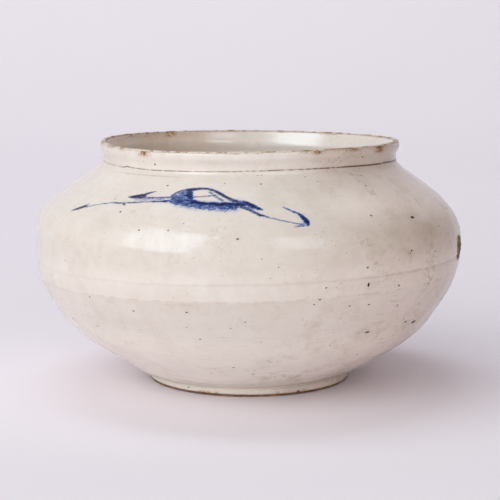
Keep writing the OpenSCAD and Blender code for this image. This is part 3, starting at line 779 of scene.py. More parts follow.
class Finish(NodeCalls):
    """A material's node tree that is laid out by calls."""

    def __init__(self, name, **shader):
        self.material = bpy.data.materials.new(name)
        self.material.use_nodes = True
        super().__init__(self.material.node_tree)
        self.shader = self.tree.nodes["Principled BSDF"]
        for key, value in shader.items():
            self.shader.inputs[key.replace("_", " ")].default_value = value
        self.where = self.node("ShaderNodeTexCoord").outputs["Object"]

    def noise(self, scale, detail=3.0, roughness=0.5, where=None):
        return self.node("ShaderNodeTexNoise", Vector=where or self.where, Scale=scale, Detail=detail,
                         Roughness=roughness).outputs[0]

    def streaks(self, level, upright, detail, roughness):
        """Noise with one scale along the ground and another upwards."""
        drawn_out = self.node("ShaderNodeMapping", Vector=self.where, Scale=(level, level, upright))
        return self.noise(1.0, detail, roughness, drawn_out.outputs[0])

    def spots(self, scale):
        return self.node("ShaderNodeTexVoronoi", Vector=self.where, Scale=scale).outputs["Distance"]

    def ramp(self, value, start, end):
        """A range between two pairs of value in and value out, with soft ends."""
        return self.node("ShaderNodeMapRange", {"interpolation_type": "SMOOTHSTEP"}, Value=value,
                         From_Min=start[0], From_Max=end[0], To_Min=start[1], To_Max=end[1]).outputs[0]

    def bands(self, value, *stops):
        """Colours that run from stop to stop, each a place and a colour."""
        made = self.node("ShaderNodeValToRGB", Fac=value)
        steps = made.color_ramp.elements
        for place, colour in stops[1:-1]:
            steps.new(place).color = (*colour, 1.0)
        for end, (place, colour) in ((0, stops[0]), (-1, stops[-1])):
            steps[end].position, steps[end].color = place, (*colour, 1.0)
        return made.outputs[0]

    def painted(self, name):
        return self.node("ShaderNodeAttribute", {"attribute_name": name}).outputs["Fac"]

    def mix(self, factor, a, b, kind="MIX"):
        made = self.node("ShaderNodeMix", {"data_type": "RGBA", "blend_type": kind})
        self.put(made.inputs[0], factor)
        for socket, value in ((made.inputs[6], a), (made.inputs[7], b)):
            self.put(socket, value if isinstance(value, bpy.types.NodeSocket) else (*value, 1.0))
        return made.outputs[2]

    def tinted(self, factor, colour, tint):
        return self.mix(factor, colour, self.mix(1.0, colour, tint, "MULTIPLY"))

    def varied(self, value, scale, amount):
        """A value with noise of the given height about it."""
        return self.plus(value, self.times(self.math("SUBTRACT", self.noise(scale, 4.0), 0.5), amount))

    def burnt(self, start, end):
        """The painted rust, broken up by noise."""
        return self.times(self.painted("rust"), self.ramp(self.noise(900.0, 3.0, 0.6), start, end), True)

    def bump(self, height, strength, distance, under=None):
        made = self.node("ShaderNodeBump", Height=height, Strength=strength, Distance=distance)
        if under is not None:
            self.put(made.inputs["Normal"], under)
        return made.outputs[0]

    def done(self, colour, roughness, normal):
        self.put(self.shader.inputs["Base Color"], colour)
        self.put(self.shader.inputs["Roughness"], roughness)
        self.put(self.shader.inputs["Normal"], normal)
        return self.material


def glaze_ground(f, look):
    """The plain glaze: softly mottled white with cream and milky places, wisps and fine specks."""
    slow = f.ramp(f.noise(14.0, 6.0, 0.6), (0.3, 0.0), (0.72, 1.0))
    colour = f.mix(f.times(slow, 0.8), look.white, look.cream)
    cloudy = f.ramp(f.noise(85.0, 8.0, 0.68), (0.42, 0.0), (0.78, 0.6))
    colour = f.mix(cloudy, colour, look.milk)
    fine = f.ramp(f.noise(420.0, 5.0, 0.7), (0.45, 0.0), (0.8, 0.5))
    colour = f.mix(fine, colour, look.cream)
    wiped = f.ramp(f.streaks(34.0, 560.0, 6.0, 0.65), (0.5, 0.0), (0.78, 1.0))
    colour = f.mix(f.times(wiped, 0.14), colour, look.cream)
    peppered = f.ramp(f.spots(520.0), (0.07, 0.7), (0.22, 0.0))
    few = f.ramp(f.noise(110.0), (0.5, 0.0), (0.66, 1.0))
    return f.mix(f.times(peppered, few), colour, look.ochre)


def brushed(f, look, colour):
    """Lays the cobalt over the glaze: streaky, grainy, and violet-grey where it holds iron."""
    cobalt = f.painted("cobalt")
    streaks = f.ramp(f.streaks(420.0, 1900.0, 5.0, 0.7), (0.36, 0.45), (0.66, 1.25))
    grains = f.ramp(f.noise(1400.0, 3.0, 0.7), (0.34, -0.28), (0.68, 0.28))
    solid = f.ramp(cobalt, (0.84, 0.0), (0.99, 0.34))
    body = f.plus(f.times(f.plus(streaks, grains), cobalt), solid, True)
    blue = f.bands(body, (0.0, look.cobalt_pale), (0.32, look.cobalt_wash), (0.62, look.cobalt_mid),
                   (1.0, look.cobalt_deep))
    grey = f.bands(body, (0.0, look.iron_pale), (0.45, look.iron_mid), (1.0, look.cobalt_iron))
    toned = f.mix(f.painted("cobalt_iron"), blue, grey)
    return f.mix(f.ramp(body, (0.0, 0.0), (0.3, 1.0)), colour, toned)


def outer_glaze_look():
    """The outer glaze, with its cobalt, cracks and rust painted by attributes."""
    look = bpy.context.scene.jar_glaze
    f = Finish("outer_glaze_look", IOR=GLAZE_IOR, Specular_IOR_Level=0.3)
    low, wisps = f.painted("low_zone"), f.painted("wisps")
    colour = f.mix(f.times(low, 0.62), glaze_ground(f, look), look.low_tint)
    # Painted light: the glaze is made paler low on the wall, against the shade under the belly, and in the
    # painted highlight on the right shoulder
    colour = f.mix(f.times(f.painted("painted_light"), 0.8), colour, look.painted_light_white)
    scraped = f.streaks(75.0, 950.0, 5.0, 0.65)
    scratches = f.times(f.ramp(scraped, (0.56, 0.0), (0.72, 1.0)), f.times(low, 0.5))
    drawn = f.ramp(f.streaks(110.0, 420.0, 5.0, 0.7), (0.60, 0.0), (0.76, 0.8))
    mottle = f.ramp(f.noise(62.0, 7.0, 0.78), (0.47, 0.0), (0.66, 0.45))
    smudge = f.times(f.ramp(f.noise(46.0, 4.0, 0.7), (0.56, 0.0), (0.68, 1.0)),
                     f.ramp(f.noise(430.0, 5.0, 0.75), (0.48, 0.0), (0.62, 1.0)))
    browned = [f.times(brown, wisps) for brown in (drawn, mottle, smudge)]
    for brown in (scratches, *browned, f.painted("pooling")):
        colour = f.mix(brown, colour, look.ochre)
    # Partly a real stain and partly painted shade: a warmer tint on the shaded right side
    colour = f.tinted(f.painted("stain"), colour, look.stain)
    # Painted shade: darker glaze on the shaded right of the collar and shoulder, below the ledge at the
    # front and across the upper belly
    colour = f.tinted(f.painted("painted_shade"), colour, look.painted_shade)
    colour = brushed(f, look, colour)

    rust = f.burnt((0.32, 0.15), (0.6, 1.25))
    colour = f.mix(rust, colour, look.rust)
    darkest = f.ramp(f.times(f.painted("rust"), f.noise(520.0)), (0.44, 0.0), (0.62, 0.85))
    colour = f.mix(darkest, colour, look.clay_dark)
    broken = f.ramp(f.noise(430.0, 3.0, 0.7), (0.34, 0.25), (0.54, 1.15))
    crack = f.times(f.painted("crack"), broken, True)
    colour = f.mix(crack, colour, look.crack)

    rough = f.plus(f.varied(look.gloss, 90.0, 0.22), f.times(f.plus(rust, crack), 0.3), True)
    peel = f.bump(f.noise(420.0), 0.35, 0.00022)
    dimple = f.bump(f.noise(95.0), 0.35, 0.0005, peel)
    marks = f.bump(f.times(scraped, f.plus(f.times(low, 0.8), 0.2)), 0.3, 0.00025, dimple)
    pits = f.bump(f.ramp(f.spots(330.0), (0.0, 0.0), (0.11, 1.0)), 0.35, 0.0002, marks)
    return f.done(colour, rough, pits)


def inner_glaze_look():
    """The glaze inside: the same ground, greyer and stained towards the left."""
    look = bpy.context.scene.jar_glaze
    f = Finish("inner_glaze_look", IOR=GLAZE_IOR)
    stain = f.ramp(f.noise(60.0, 4.0, 0.6), (0.42, 0.0), (0.7, 1.0))
    colour = f.mix(f.times(stain, 0.35), glaze_ground(f, look), look.low_tint)
    across = f.node("ShaderNodeSeparateXYZ", Vector=f.where).outputs[0]
    left = f.ramp(across, (0.015, 0.0), (-0.068, 1.0))
    patchy = f.ramp(f.noise(48.0, 4.0, 0.6), (0.3, 0.35), (0.65, 0.95))
    colour = f.mix(f.times(left, patchy), colour, look.tea)
    colour = f.mix(f.burnt((0.32, 0.1), (0.6, 1.2)), colour, look.rust)
    return f.done(colour, f.varied(look.gloss + 0.05, 90.0, 0.25), f.bump(f.noise(300.0, 4.0), 0.4, 0.0003))


def base_glaze_look():
    """The glaze under the foot, wiped thin over the clay."""
    look = bpy.context.scene.jar_glaze
    f = Finish("base_glaze_look", IOR=GLAZE_IOR)
    thin = f.ramp(f.noise(45.0, 4.0, 0.6), (0.5, 0.0), (0.7, 0.8))
    colour = f.mix(thin, glaze_ground(f, look), look.clay)
    rough = f.plus(look.gloss + 0.08, f.times(thin, 0.25))
    return f.done(colour, rough, f.bump(f.noise(260.0, 4.0), 0.5, 0.0004))


def bare_clay(name, dark_share, veiled=0.0, burnt=None):
    """Bare fired clay, buff to rust brown, sandy, and in places veiled by thin glaze."""
    look = bpy.context.scene.jar_glaze
    f = Finish(name)
    half = dark_share * 0.5
    flush = f.ramp(f.noise(140.0, 4.0, 0.6), (0.62 - half, 0.0), (0.85 - half, 1.0))
    colour = f.mix(flush, look.clay, burnt or look.clay_dark)
    orange = f.ramp(f.noise(230.0), (0.52, 0.0), (0.7, 0.75))
    colour = f.mix(orange, colour, look.rust)
    sand = f.ramp(f.spots(1500.0), (0.08, 0.8), (0.25, 0.0))
    colour = f.mix(f.times(sand, 0.6), colour, SAND)
    if veiled:
        veil = f.ramp(f.noise(210.0, 4.0, 0.65), (0.43, 0.0), (0.54, veiled))
        colour = f.mix(veil, colour, look.cream)
    rough = f.ramp(f.noise(600.0), (0.3, 0.62), (0.7, 0.92))
    return f.done(colour, rough, f.bump(f.noise(1300.0, 4.0, 0.7), 0.8, 0.0003))


def iron_look(name):
    """Iron melted into the glaze, crust or burnt sand: near black to brown."""
    darkest, lightest, roughness = IRON_LOOKS[name]
    f = Finish(name)
    tone = f.ramp(f.noise(1400.0, 3.0, 0.6), (0.35, 0.0), (0.66, 1.0))
    rough = f.ramp(f.noise(900.0, 2.0), (0.3, roughness - 0.12), (0.7, roughness + 0.15))
    return f.done(f.mix(tone, darkest, lightest), rough, f.bump(f.noise(2200.0), 0.6, 0.00015))


def slip_look():
    """Fired luting slip: matt, grey-buff, with the potter's wiping."""
    f = Finish("joint_slip_look")
    wiped = f.streaks(60.0, 700.0, 4.0, 0.6)
    colour = f.mix(f.ramp(wiped, (0.35, 0.0), (0.65, 1.0)), SLIP, WIPED_SLIP)
    colour = f.mix(f.ramp(f.spots(1300.0), (0.06, 0.8), (0.2, 0.0)), colour, SLIP_GRAIN)
    rough = f.ramp(f.noise(500.0), (0.3, 0.7), (0.7, 0.95))
    return f.done(colour, rough, f.bump(wiped, 0.6, 0.0004))


def paper_look():
    """Seamless studio paper."""
    paper = bpy.context.scene.jar_studio.paper
    f = Finish("studio_paper", Specular_IOR_Level=0.15)
    tone = f.ramp(f.noise(2.2, 2.0), (0.3, 0.0), (0.7, 1.0))
    colour = f.mix(f.times(tone, 0.3), paper, tuple(c * 0.97 for c in paper))
    rough = f.ramp(f.noise(400.0, 2.0), (0.3, 0.75), (0.7, 0.9))
    return f.done(colour, rough, f.bump(f.noise(900.0, 2.0), 0.05, 0.0002))


# Painting of the outer coat

def smooth_path(points, steps=14):
    """A smooth curve through a stroke's points."""
    p = np.array(points, float)
    p = np.vstack([p[0], p, p[-1]])
    out = []
    for i in range(1, len(p) - 2):
        a, b, c, d = p[i - 1], p[i], p[i + 1], p[i + 2]
        bend, twist = 2 * a - 5 * b + 4 * c - d, 3 * b - a - 3 * c + d
        for t in np.linspace(0, 1, steps, endpoint=False):
            out.append((2 * b + (c - a) * t + bend * t ** 2 + twist * t ** 3) / 2)
    out.append(p[-2])
    return np.array(out)


class Spray:
    """Where the painted spray lies, and the flat coordinates that its strokes are measured in."""
    start, turn, low, high = -59.75, 76.0, 84.0, 14.0
    # The wall's radius there, and how much taller than along the shoulder a height looks from the front
    radius, upright = 84.0, 1.15
    # Dots that fray the foot of the band: places along it, and the lowest and highest they lie there
    dots, dots_from, dots_to = 150, 0.5, 0.745
    dots_along = (0.5, 0.56, 0.62, 0.70, 0.745)
    dots_low, dots_high, dots_over = (0.50, 0.44, 0.40, 0.41, 0.44), (0.55, 0.50, 0.49, 0.47, 0.50), 0.06
    # How strongly and how far, in millimetres, every stroke bleeds into the glaze
    bleed, bleed_reach = 0.14, 0.7

    def flat(self, along, up):
        around = np.asarray(along) * math.radians(self.turn) * self.radius
        return np.stack([around, np.asarray(up) * self.high * self.upright], -1)

    def shares(self, turn, z):
        return (turn - self.start) / self.turn, (z - self.low) / self.high

    def strokes(self, seed):
        """The paths of all strokes and dots, each with its softness and its iron."""
        draws = np.random.default_rng(seed)
        paths = [(smooth_path(points), soft, iron) for points, soft, iron in STROKES]
        for _ in range(self.dots):
            a = draws.uniform(self.dots_from, self.dots_to)
            least = np.interp(a, self.dots_along, self.dots_low)
            most = np.interp(a, self.dots_along, self.dots_high) + self.dots_over
            dot = (a, draws.uniform(least, most), draws.uniform(0.08, 0.2), draws.uniform(0.25, 0.6))
            paths.append((np.array([dot]), 0.16, 0.0))
        return paths + [(np.array(DROPS), 0.2, 0.0)]


def cobalt_at(turn, z, seed):
    """Strength of the cobalt, and its iron, at turns and heights."""
    spray = Spray()
    p = spray.flat(*spray.shares(turn, z))
    clear = np.ones(len(p))
    iron_sum, weight = np.zeros(len(p)), np.full(len(p), 1e-6)
    for path, soft, iron in spray.strokes(seed):
        q = spray.flat(path[:, 0], path[:, 1])
        near = np.all((p > q.min(0) - 4) & (p < q.max(0) + 4), axis=1)
        if not near.any():
            continue
        width, strength = path[None, :, 2], path[None, :, 3]
        d = np.linalg.norm(p[near, None] - q[None], axis=2) - width
        bled = strength * spray.bleed * np.exp(-np.clip(d, 0, 9) / spray.bleed_reach)
        s = (strength * (1 - smooth(-soft * 0.5, soft, d)) + bled).max(1)
        clear[near] *= 1 - np.clip(s, 0, 0.97)
        iron_sum[near] += s * iron
        weight[near] += s
    return 1 - clear, iron_sum / weight


def line_strength(turn, z, points, width):
    """Strength of a thin line round the jar, from points of turn, height and strength."""
    t, h, s = np.array(points, float).T
    return np.interp(turn, t, s) * np.exp(-((z - np.interp(turn, t, h)) / width) ** 2)


def rust_at(shape, turn, z):
    """How much rust shows below the crest."""
    below = shape.top - z
    a = np.radians(turn)
    ring = np.stack([np.cos(a) * shape.rust_r, np.sin(a) * shape.rust_r, z * 0], -1)
    wander = 0.5 + 0.5 * value_noise(ring, 2.2, 5)
    fading = np.exp(-np.clip(below - shape.lip_bare * 0.8, 0, 9) / (0.12 + 0.22 * wander))
    line = fading * (0.12 + 0.75 * wander)
    for middle, spread, drop, strength in RUST:
        around = (turn - middle + 180) % 360 - 180
        hanging = 1 - smooth(drop * 0.45, drop * 1.15, below)
        line = np.maximum(line, strength * np.exp(-(around / spread) ** 2 * 2.2) * hanging)
    return np.clip(line, 0, 1) * smooth(6, 3, below)


# Turned pieces

def turned(name, points, relief, look, steps, wander, wander_size, seed, ring_depth=0.0, ring_pitch=0.01):
    """Turns an outline into a closed piece."""
    line = outline_object(name + "_line", points, relief)
    made = turning_tree().run(line, name, {
        "Steps round": steps, "Ring depth": ring_depth, "Ring pitch": ring_pitch, "Wander": wander,
        "Wander size": wander_size, "Seed": seed, "Finish": look})
    face_outwards(made)
    return made


# Operators, one for each piece or group of like pieces

class JarOperator(bpy.types.Operator):
    """What the jar's operators share."""
    bl_options = {"REGISTER"}


class JAR_OT_outer_coat(JarOperator):
    """The glaze outside, from the bare foot up to the bare crest, with its cobalt brushwork"""
    bl_idname = "jar.outer_coat"
    bl_label = "Outer glaze and brushwork"
    # Gaps between the stations up to each height: they lie close at the foot, the ledge, the joint line,
    # the brushwork, the crack and the lip
    gaps = ((7, 0.42), (50.8, 1.75), (53.6, 0.42), (58.2, 1.75), (61.2, 0.42), (82.5, 1.75), (99.5, 0.46),
            (102.6, 0.5), (106.2, 0.26), (math.inf, 0.5))
    # The turns between which the brushwork lies, and the gaps there and elsewhere
    painted, painted_gap, plain_gap = (-63, 20), 0.31, 1.55
    back_stations = 26

    def stations(self, shape):
        """Points of the outline, close together where there is something fine to show."""
        line = shape.outline()
        travel = np.concatenate([[0], np.cumsum(np.linalg.norm(np.diff(line, axis=0), axis=1))])

        def gap(s):
            z = np.interp(s, travel, line[:, 1])
            return next(gap for top, gap in self.gaps if z < top)
        s = spaced(travel[-1], gap)
        return np.interp(s, travel, line[:, 0]), np.interp(s, travel, line[:, 1])

    def turns(self):
        first, last = self.painted
        return spaced(360.0, lambda a: self.painted_gap if first < a < last else self.plain_gap, -180.0)[:-1]

    def relief(self, shape, marks, points, turn, h):
        """The relief in millimetres, and the groove, crack and rust, which are painted too."""
        a = np.radians(turn)
        ring_depth = mm(marks.ring_depth)
        relief = mm(marks.unevenness) * value_noise(points, 24.0, 3)
        relief += ring_depth * np.sin(h * 1.05 + 1.3 * np.sin(h * 0.21) + 0.5 * np.sin(a + h * 0.1))
        relief += ring_depth * 0.7 * np.sin(h * 2.3 + 0.8 * np.sin(a * 2 + 1))
        uneven = 0.65 + 0.35 * np.sin(a + 0.6) + 0.5 * smooth(10, 50, turn)
        groove = dome(h, shape.joint_z, 0.5) * uneven * smooth(-88, -45, turn)
        faint = 0.45 * dome(h, shape.faint_z, 0.5) * smooth(-15, -40, turn)
        ledge = 0.8 * shape.below_ledge(h) * smooth(44, 50, h)
        relief -= mm(marks.groove_depth) * (groove + faint + ledge)
        crack = 1.2 * line_strength(turn, h, CRACK, 0.24)
        crack += 0.3 * line_strength(turn, h, FINE_CRACK, 0.25)
        relief -= 0.09 * np.clip(crack, 0, 1.2)
        rust = rust_at(shape, turn, h)
        relief -= 0.1 * rust * smooth(3.0, 0.6, shape.top - h)
        chips = np.clip(value_noise(points, 5.5, 41) * 2.6 - 0.25, 0, 1)
        chipped = np.exp(-np.clip(h - shape.foot_bare, 0, 9) / (0.12 + 0.55 * chips)) * (0.55 + 0.45 * chips)
        ends = smooth(shape.top - 0.2, shape.top - 0.9, h)
        relief = np.minimum(relief * smooth(0.6, 2.4, h) * ends, 0.3)
        return relief, groove, crack, np.maximum(rust, chipped)

    def raised(self, shape, points, turn, h, relief):
        """Moves points out by the relief, inside the belly's radius, and returns the wall's lean too."""
        room = np.clip(shape.belly_r - np.hypot(points[:, 0], points[:, 1]), 0, None)
        relief = np.minimum(relief, room)
        heights = np.linspace(5, 104, 400)
        slope = np.gradient(shape.skin(heights), heights)
        lean = np.interp(points[:, 2], heights, slope) * smooth(5.5, 8, h) * smooth(103.8, 100, h)
        size = np.hypot(1, lean)
        points = points + outward(turn) * (relief / size)[:, None]
        points[:, 2] -= relief * lean / size
        return points, lean

    def shell(self, shape, points, turns, lean):
        """The closed coat, with fewer rows of points at its back than outside."""
        columns, first = len(turns), len(points)
        count = first // columns
        back_rows = np.unique(np.linspace(0, count - 1, self.back_stations).round().astype(int))
        inward = np.tile(-outward(turns), (len(back_rows), 1, 1))
        inward[:, :, 2] = lean.reshape(count, columns)[back_rows]
        inward /= np.linalg.norm(inward, axis=2, keepdims=True)
        back = points.reshape(count, columns, 3)[back_rows] + inward * shape.coat * shape.coat_share
        last_row, last_back = first - columns, first + (len(back_rows) - 1) * columns
        faces = fill_grid(count, columns)
        faces += [face[::-1] for face in fill_grid(len(back_rows), columns, first)]
        for j in range(columns):
            k = (j + 1) % columns
            faces.append((last_row + j, last_row + k, last_back + k, last_back + j))
            faces.append((j, first + j, first + k, k))
        return new_object("outer_glaze_coat", np.vstack([points, back.reshape(-1, 3)]), faces)

    def layers(self, shape, points, turn, h, groove, crack, rust):
        """What is painted on the coat besides the cobalt."""
        right = smooth(-10, 60, turn) * smooth(150, 110, turn)
        crease = dome(h, shape.crease_z + 0.3, 1.3) * (0.3 + 0.45 * smooth(-30, 40, turn))
        crease += 0.12 * smooth(shape.crease_z + 1, shape.crease_z - 1, h)
        broken = np.clip(value_noise(points, 5.0, 21) * 2.4 + 0.1, 0, 1)
        band = smooth(15, 32, turn) * smooth(74, 62, turn) * smooth(66.5, 67.2, h) * smooth(73, 70, h)
        # Painted shade: darker on the collar's shaded right, in a patch on the right shoulder, below the
        # ledge at the front, and across the front of the upper belly, more at the right
        painted_shade = 0.95 * smooth(8, 42, turn) * smooth(178, 150, turn) * smooth(100.5, 104.5, h)
        painted_shade += 0.8 * dome(turn, 60, 16) * dome(h, 76.5, 6)
        low_front = dome(turn, -8, 31) * smooth(52.5, 51.9, h) * smooth(12, 22, h)
        painted_shade += 0.38 * low_front * (0.5 + 0.5 * smooth(42, 50, h))
        side_shade = (0.3 * smooth(-85, -40, turn) + 0.14 * smooth(15, 35, turn)) * smooth(120, 80, turn)
        painted_shade += side_shade * smooth(61.5, 67.5, h) * smooth(90, 80, h)
        # Painted highlight: the right panel's reflection on the shoulder, painted as paler glaze
        painted_shoulder_highlight = 0.7 * dome(turn, 35, 14) * dome(h, 91, 5)
        return {
            "crack": np.clip(crack, 0, 1.6) + (0.07 + 0.12 * smooth(10, 50, turn)) * groove,
            "rust": rust,
            "low_zone": shape.below_ledge(h) * (0.75 + 0.25 * np.sin(np.radians(turn) - 1.0)),
            "wisps": 0.26 + 0.38 * right + 0.25 * smooth(60, 20, h) * (0.4 + 0.6 * right),
            "pooling": crease + 0.28 * broken * (dome(h, shape.ledge_z + 0.2, 0.4) + band),
            # Partly a real stain and partly painted shade: a warmer tint over the shaded right side
            "stain": 0.7 * smooth(0, 60, turn) * smooth(175, 130, turn),
            "painted_shade": np.clip(painted_shade * (1 + 0.5 * value_noise(points, 8.0, 31)), 0, 1),
            # Painted light on the lower wall, which faces down into shade, and the shoulder's painted
            # highlight
            "painted_light": smooth(46, 14, h) * smooth(1, 4, h) + painted_shoulder_highlight,
            "speck": 0.45 + 0.7 * smooth(-20, 50, turn) * smooth(170, 130, turn) + 0.2 * smooth(60, 30, h),
        }

    def execute(self, context):
        shape, marks = Shape(), context.scene.jar_marks
        station_r, station_h = self.stations(shape)
        turns = self.turns()
        turn, h = np.tile(turns, len(station_h)), np.repeat(station_h, len(turns))
        r = np.repeat(station_r, len(turns))
        r = r + shape.collar_full * dome(turn, -85, 48) * smooth(104.2, 105.6, h) * smooth(110.4, 108.6, h)
        points = shape.place(turn, h, r, 1.0)
        cobalt, iron = cobalt_at(turn, points[:, 2], marks.seed)
        relief, *painted = self.relief(shape, marks, points, turn, h)
        points, lean = self.raised(shape, points, turn, h, relief)
        obj = self.shell(shape, points, turns, lean)
        hidden = np.zeros(len(obj.data.vertices) - len(points))
        layers = {"cobalt": cobalt, "cobalt_iron": iron, **self.layers(shape, points, turn, h, *painted)}
        for name, values in layers.items():
            paint(obj, name, np.concatenate([values, hidden]))
        finish_piece(obj, outer_glaze_look(), "white_glaze", "outer_glaze", "brush_wash", "brush_arch",
                     "brush_veins", "brush_side_leaf", "brush_long_stem", "brush_right_leaf", "brush_tail",
                     "brush_hook")
        return {"FINISHED"}


class JAR_OT_inner_coat(JarOperator):
    """The glaze inside, from the bare crest down the hollow to the floor, turned with its finger rings"""
    bl_idname = "jar.inner_coat"
    bl_label = "Inner glaze"
    # Points of the outline at which the wall's relief fades in below the crest and out at the floor
    fade_in, fade_out = 12, 3

    def execute(self, context):
        shape, marks = Shape(), context.scene.jar_marks
        lip_z = np.linspace(shape.top - shape.lip_bare, shape.throat_z, 26)
        lip = [(float(shape.lip_in(z)), z) for z in lip_z]
        upper_z = np.linspace(shape.throat_z, shape.belly_z, 28)[1:]
        lower_z = shape.floor_z + (shape.belly_z - shape.floor_z) * np.linspace(1, 0, 42)[1:-1] ** 1.7
        wall = [(float(shape.hollow(z)), z) for z in np.concatenate([upper_z, lower_z])]
        edge_r, edge_z = wall[-1]
        rise = edge_z - shape.floor_z
        floor = [(edge_r * t, shape.floor_z + rise * t ** 2) for t in np.linspace(1, 0, 10)[1:]]
        face = np.array(lip + wall + floor)
        tangent = np.gradient(face, axis=0)
        tangent /= np.linalg.norm(tangent, axis=1, keepdims=True)
        under = face + np.stack([-tangent[:, 1], tangent[:, 0]], -1) * shape.coat * shape.coat_share
        under[0, 1] = face[0, 1]
        under[-1] = (0, shape.floor_z - shape.coat * shape.coat_share)
        under = under[::-1][::2]
        place = np.arange(len(face))
        relief = smooth(0, self.fade_in, place) * np.where(place > len(face) - self.fade_out, 0, 1)
        coat = turned(
            "inner_glaze_coat", np.vstack([face, under]), np.concatenate([relief, np.zeros(len(under))]),
            inner_glaze_look(), steps=300, wander=0.0006, wander_size=28.0, seed=2.5,
            ring_depth=marks.finger_depth, ring_pitch=marks.finger_pitch)
        warp(coat, shape)
        p = read_points(coat)
        turn = turn_of(p)
        z = p[:, 2] - shape.shift(turn, np.full(len(p), shape.top), shape.mouth_r)
        tan = 0.34 * dome(turn, -118, 42) * smooth(5.0, 0.5, shape.top - z)
        paint(coat, "rust", np.maximum(rust_at(shape, turn, np.minimum(z, shape.top)), tan))
        finish_piece(coat, coat.data.materials[0], "white_glaze", "inner_glaze")
        return {"FINISHED"}


class JAR_OT_lip_clay(JarOperator):
    """The collar's clay, which shows as a thin brown line at the crest, with small chips"""
    bl_idname = "jar.lip_clay"
    bl_label = "Clay at the lip"

    def execute(self, context):
        shape = Shape()
        coat, low, bare = shape.coat, shape.shoulder_z, shape.top - shape.lip_bare
        start, end = shape.lip_start_angle, shape.lip_end_angle
        out_r = shape.neck_r - coat
        outside = [(out_r, low), (out_r + 0.1, low + 2), (out_r + shape.collar_flare, shape.lip_z)]
        arc = [(r - coat, z) for r, z in map(shape.lip_point, np.linspace(start, end, 8))]
        crest = [shape.lip_point(a) for a in np.linspace(end, 84, 5)]
        flat = [(r, shape.top) for r in np.linspace(shape.crest_out_r - 0.1, shape.crest_in_r + 0.1, 5)]
        inside = [(float(shape.lip_in(bare)), bare)]
        inside += [(float(shape.lip_in(z)) + coat, z) for z in np.linspace(bare, low, 12)]
        points = np.array(outside + arc + crest + flat + inside)
        relief = np.where(points[:, 1] > bare + 0.05, 1.0, 0.0)
        look = bare_clay("lip_clay_look", dark_share=0.38, veiled=0.9, burnt=LIP_FLUSH)
        clay = turned("lip_clay", points, relief, look, steps=900, wander=0.00055, wander_size=420.0,
                      seed=4.2)
        warp(clay, shape)
        p = read_points(clay)
        p[:, 2] = np.minimum(p[:, 2], shape.top)
        write_points(clay, p)
        finish_piece(clay, look, "clay_body", "neck_collar")
        return {"FINISHED"}


class JAR_OT_foot(JarOperator):
    """The bare clay of the foot ring and the glaze inside it, both turned"""
    bl_idname = "jar.foot"
    bl_label = "Foot ring and base glaze"
    # The middle of the rounded bevel: how far in from the side and up from the ground
    bevel_in, bevel_up = 0.12, 0.14

    def execute(self, context):
        shape = Shape()
        self.ring(shape)
        self.base(shape)
        return {"FINISHED"}

    def ring(self, shape):
        in_r, bevel, top = shape.foot_in_r, shape.foot_bevel, shape.crease_z - shape.slip
        ground_r = shape.foot_side(0) - shape.coat
        points = [(in_r, z) for z in np.linspace(top, bevel, 6)] + [(in_r + self.bevel_in, self.bevel_up)]
        points += [(r, 0) for r in np.linspace(in_r + bevel, ground_r - bevel, 9)]
        points += [(ground_r - self.bevel_in, self.bevel_up)]
        points += [(shape.foot_side(z) - shape.coat, z) for z in np.linspace(bevel, top, 6)]
        relief = [0 if z < 0.05 or z > 2.5 else 1 for _, z in points]
        look = bare_clay("foot_clay_look", dark_share=0.75)
        foot = turned("foot_clay", points, relief, look, steps=420, wander=0.0004, wander_size=260.0,
                      seed=8.1)
        p = read_points(foot)
        p[:, 2] = np.maximum(p[:, 2], 0)
        write_points(foot, p)
        finish_piece(foot, look, "clay_body", "foot_ring")

    def base(self, shape):
        in_r, roof = shape.foot_in_r, shape.recess_z
        under, edge = roof - shape.coat, in_r - shape.coat
        face = [(0, under)]
        face += [(edge * t, under - 0.12 * math.sin(t * 9)) for t in np.linspace(0, 1, 40)[1:-1]]
        face += [(edge - 0.5, under), (edge - 0.15, under - 0.15), (edge, under - 0.5)]
        face += [(edge, z) for z in np.linspace(under - 0.8, shape.foot_bare, 6)]
        back = [(in_r, shape.foot_bare), (in_r, 3.0), (in_r, roof), (20.0, roof), (0, roof)]
        relief = [0] + [1] * (len(face) - 8) + [0.3] * 7 + [0] * len(back)
        look = base_glaze_look()
        base = turned("base_glaze_coat", face + back, relief, look, steps=260, wander=0.0004,
                      wander_size=60.0, seed=3.3, ring_depth=0.00006, ring_pitch=0.0045)
        finish_piece(base, look, "white_glaze", "base_glaze")


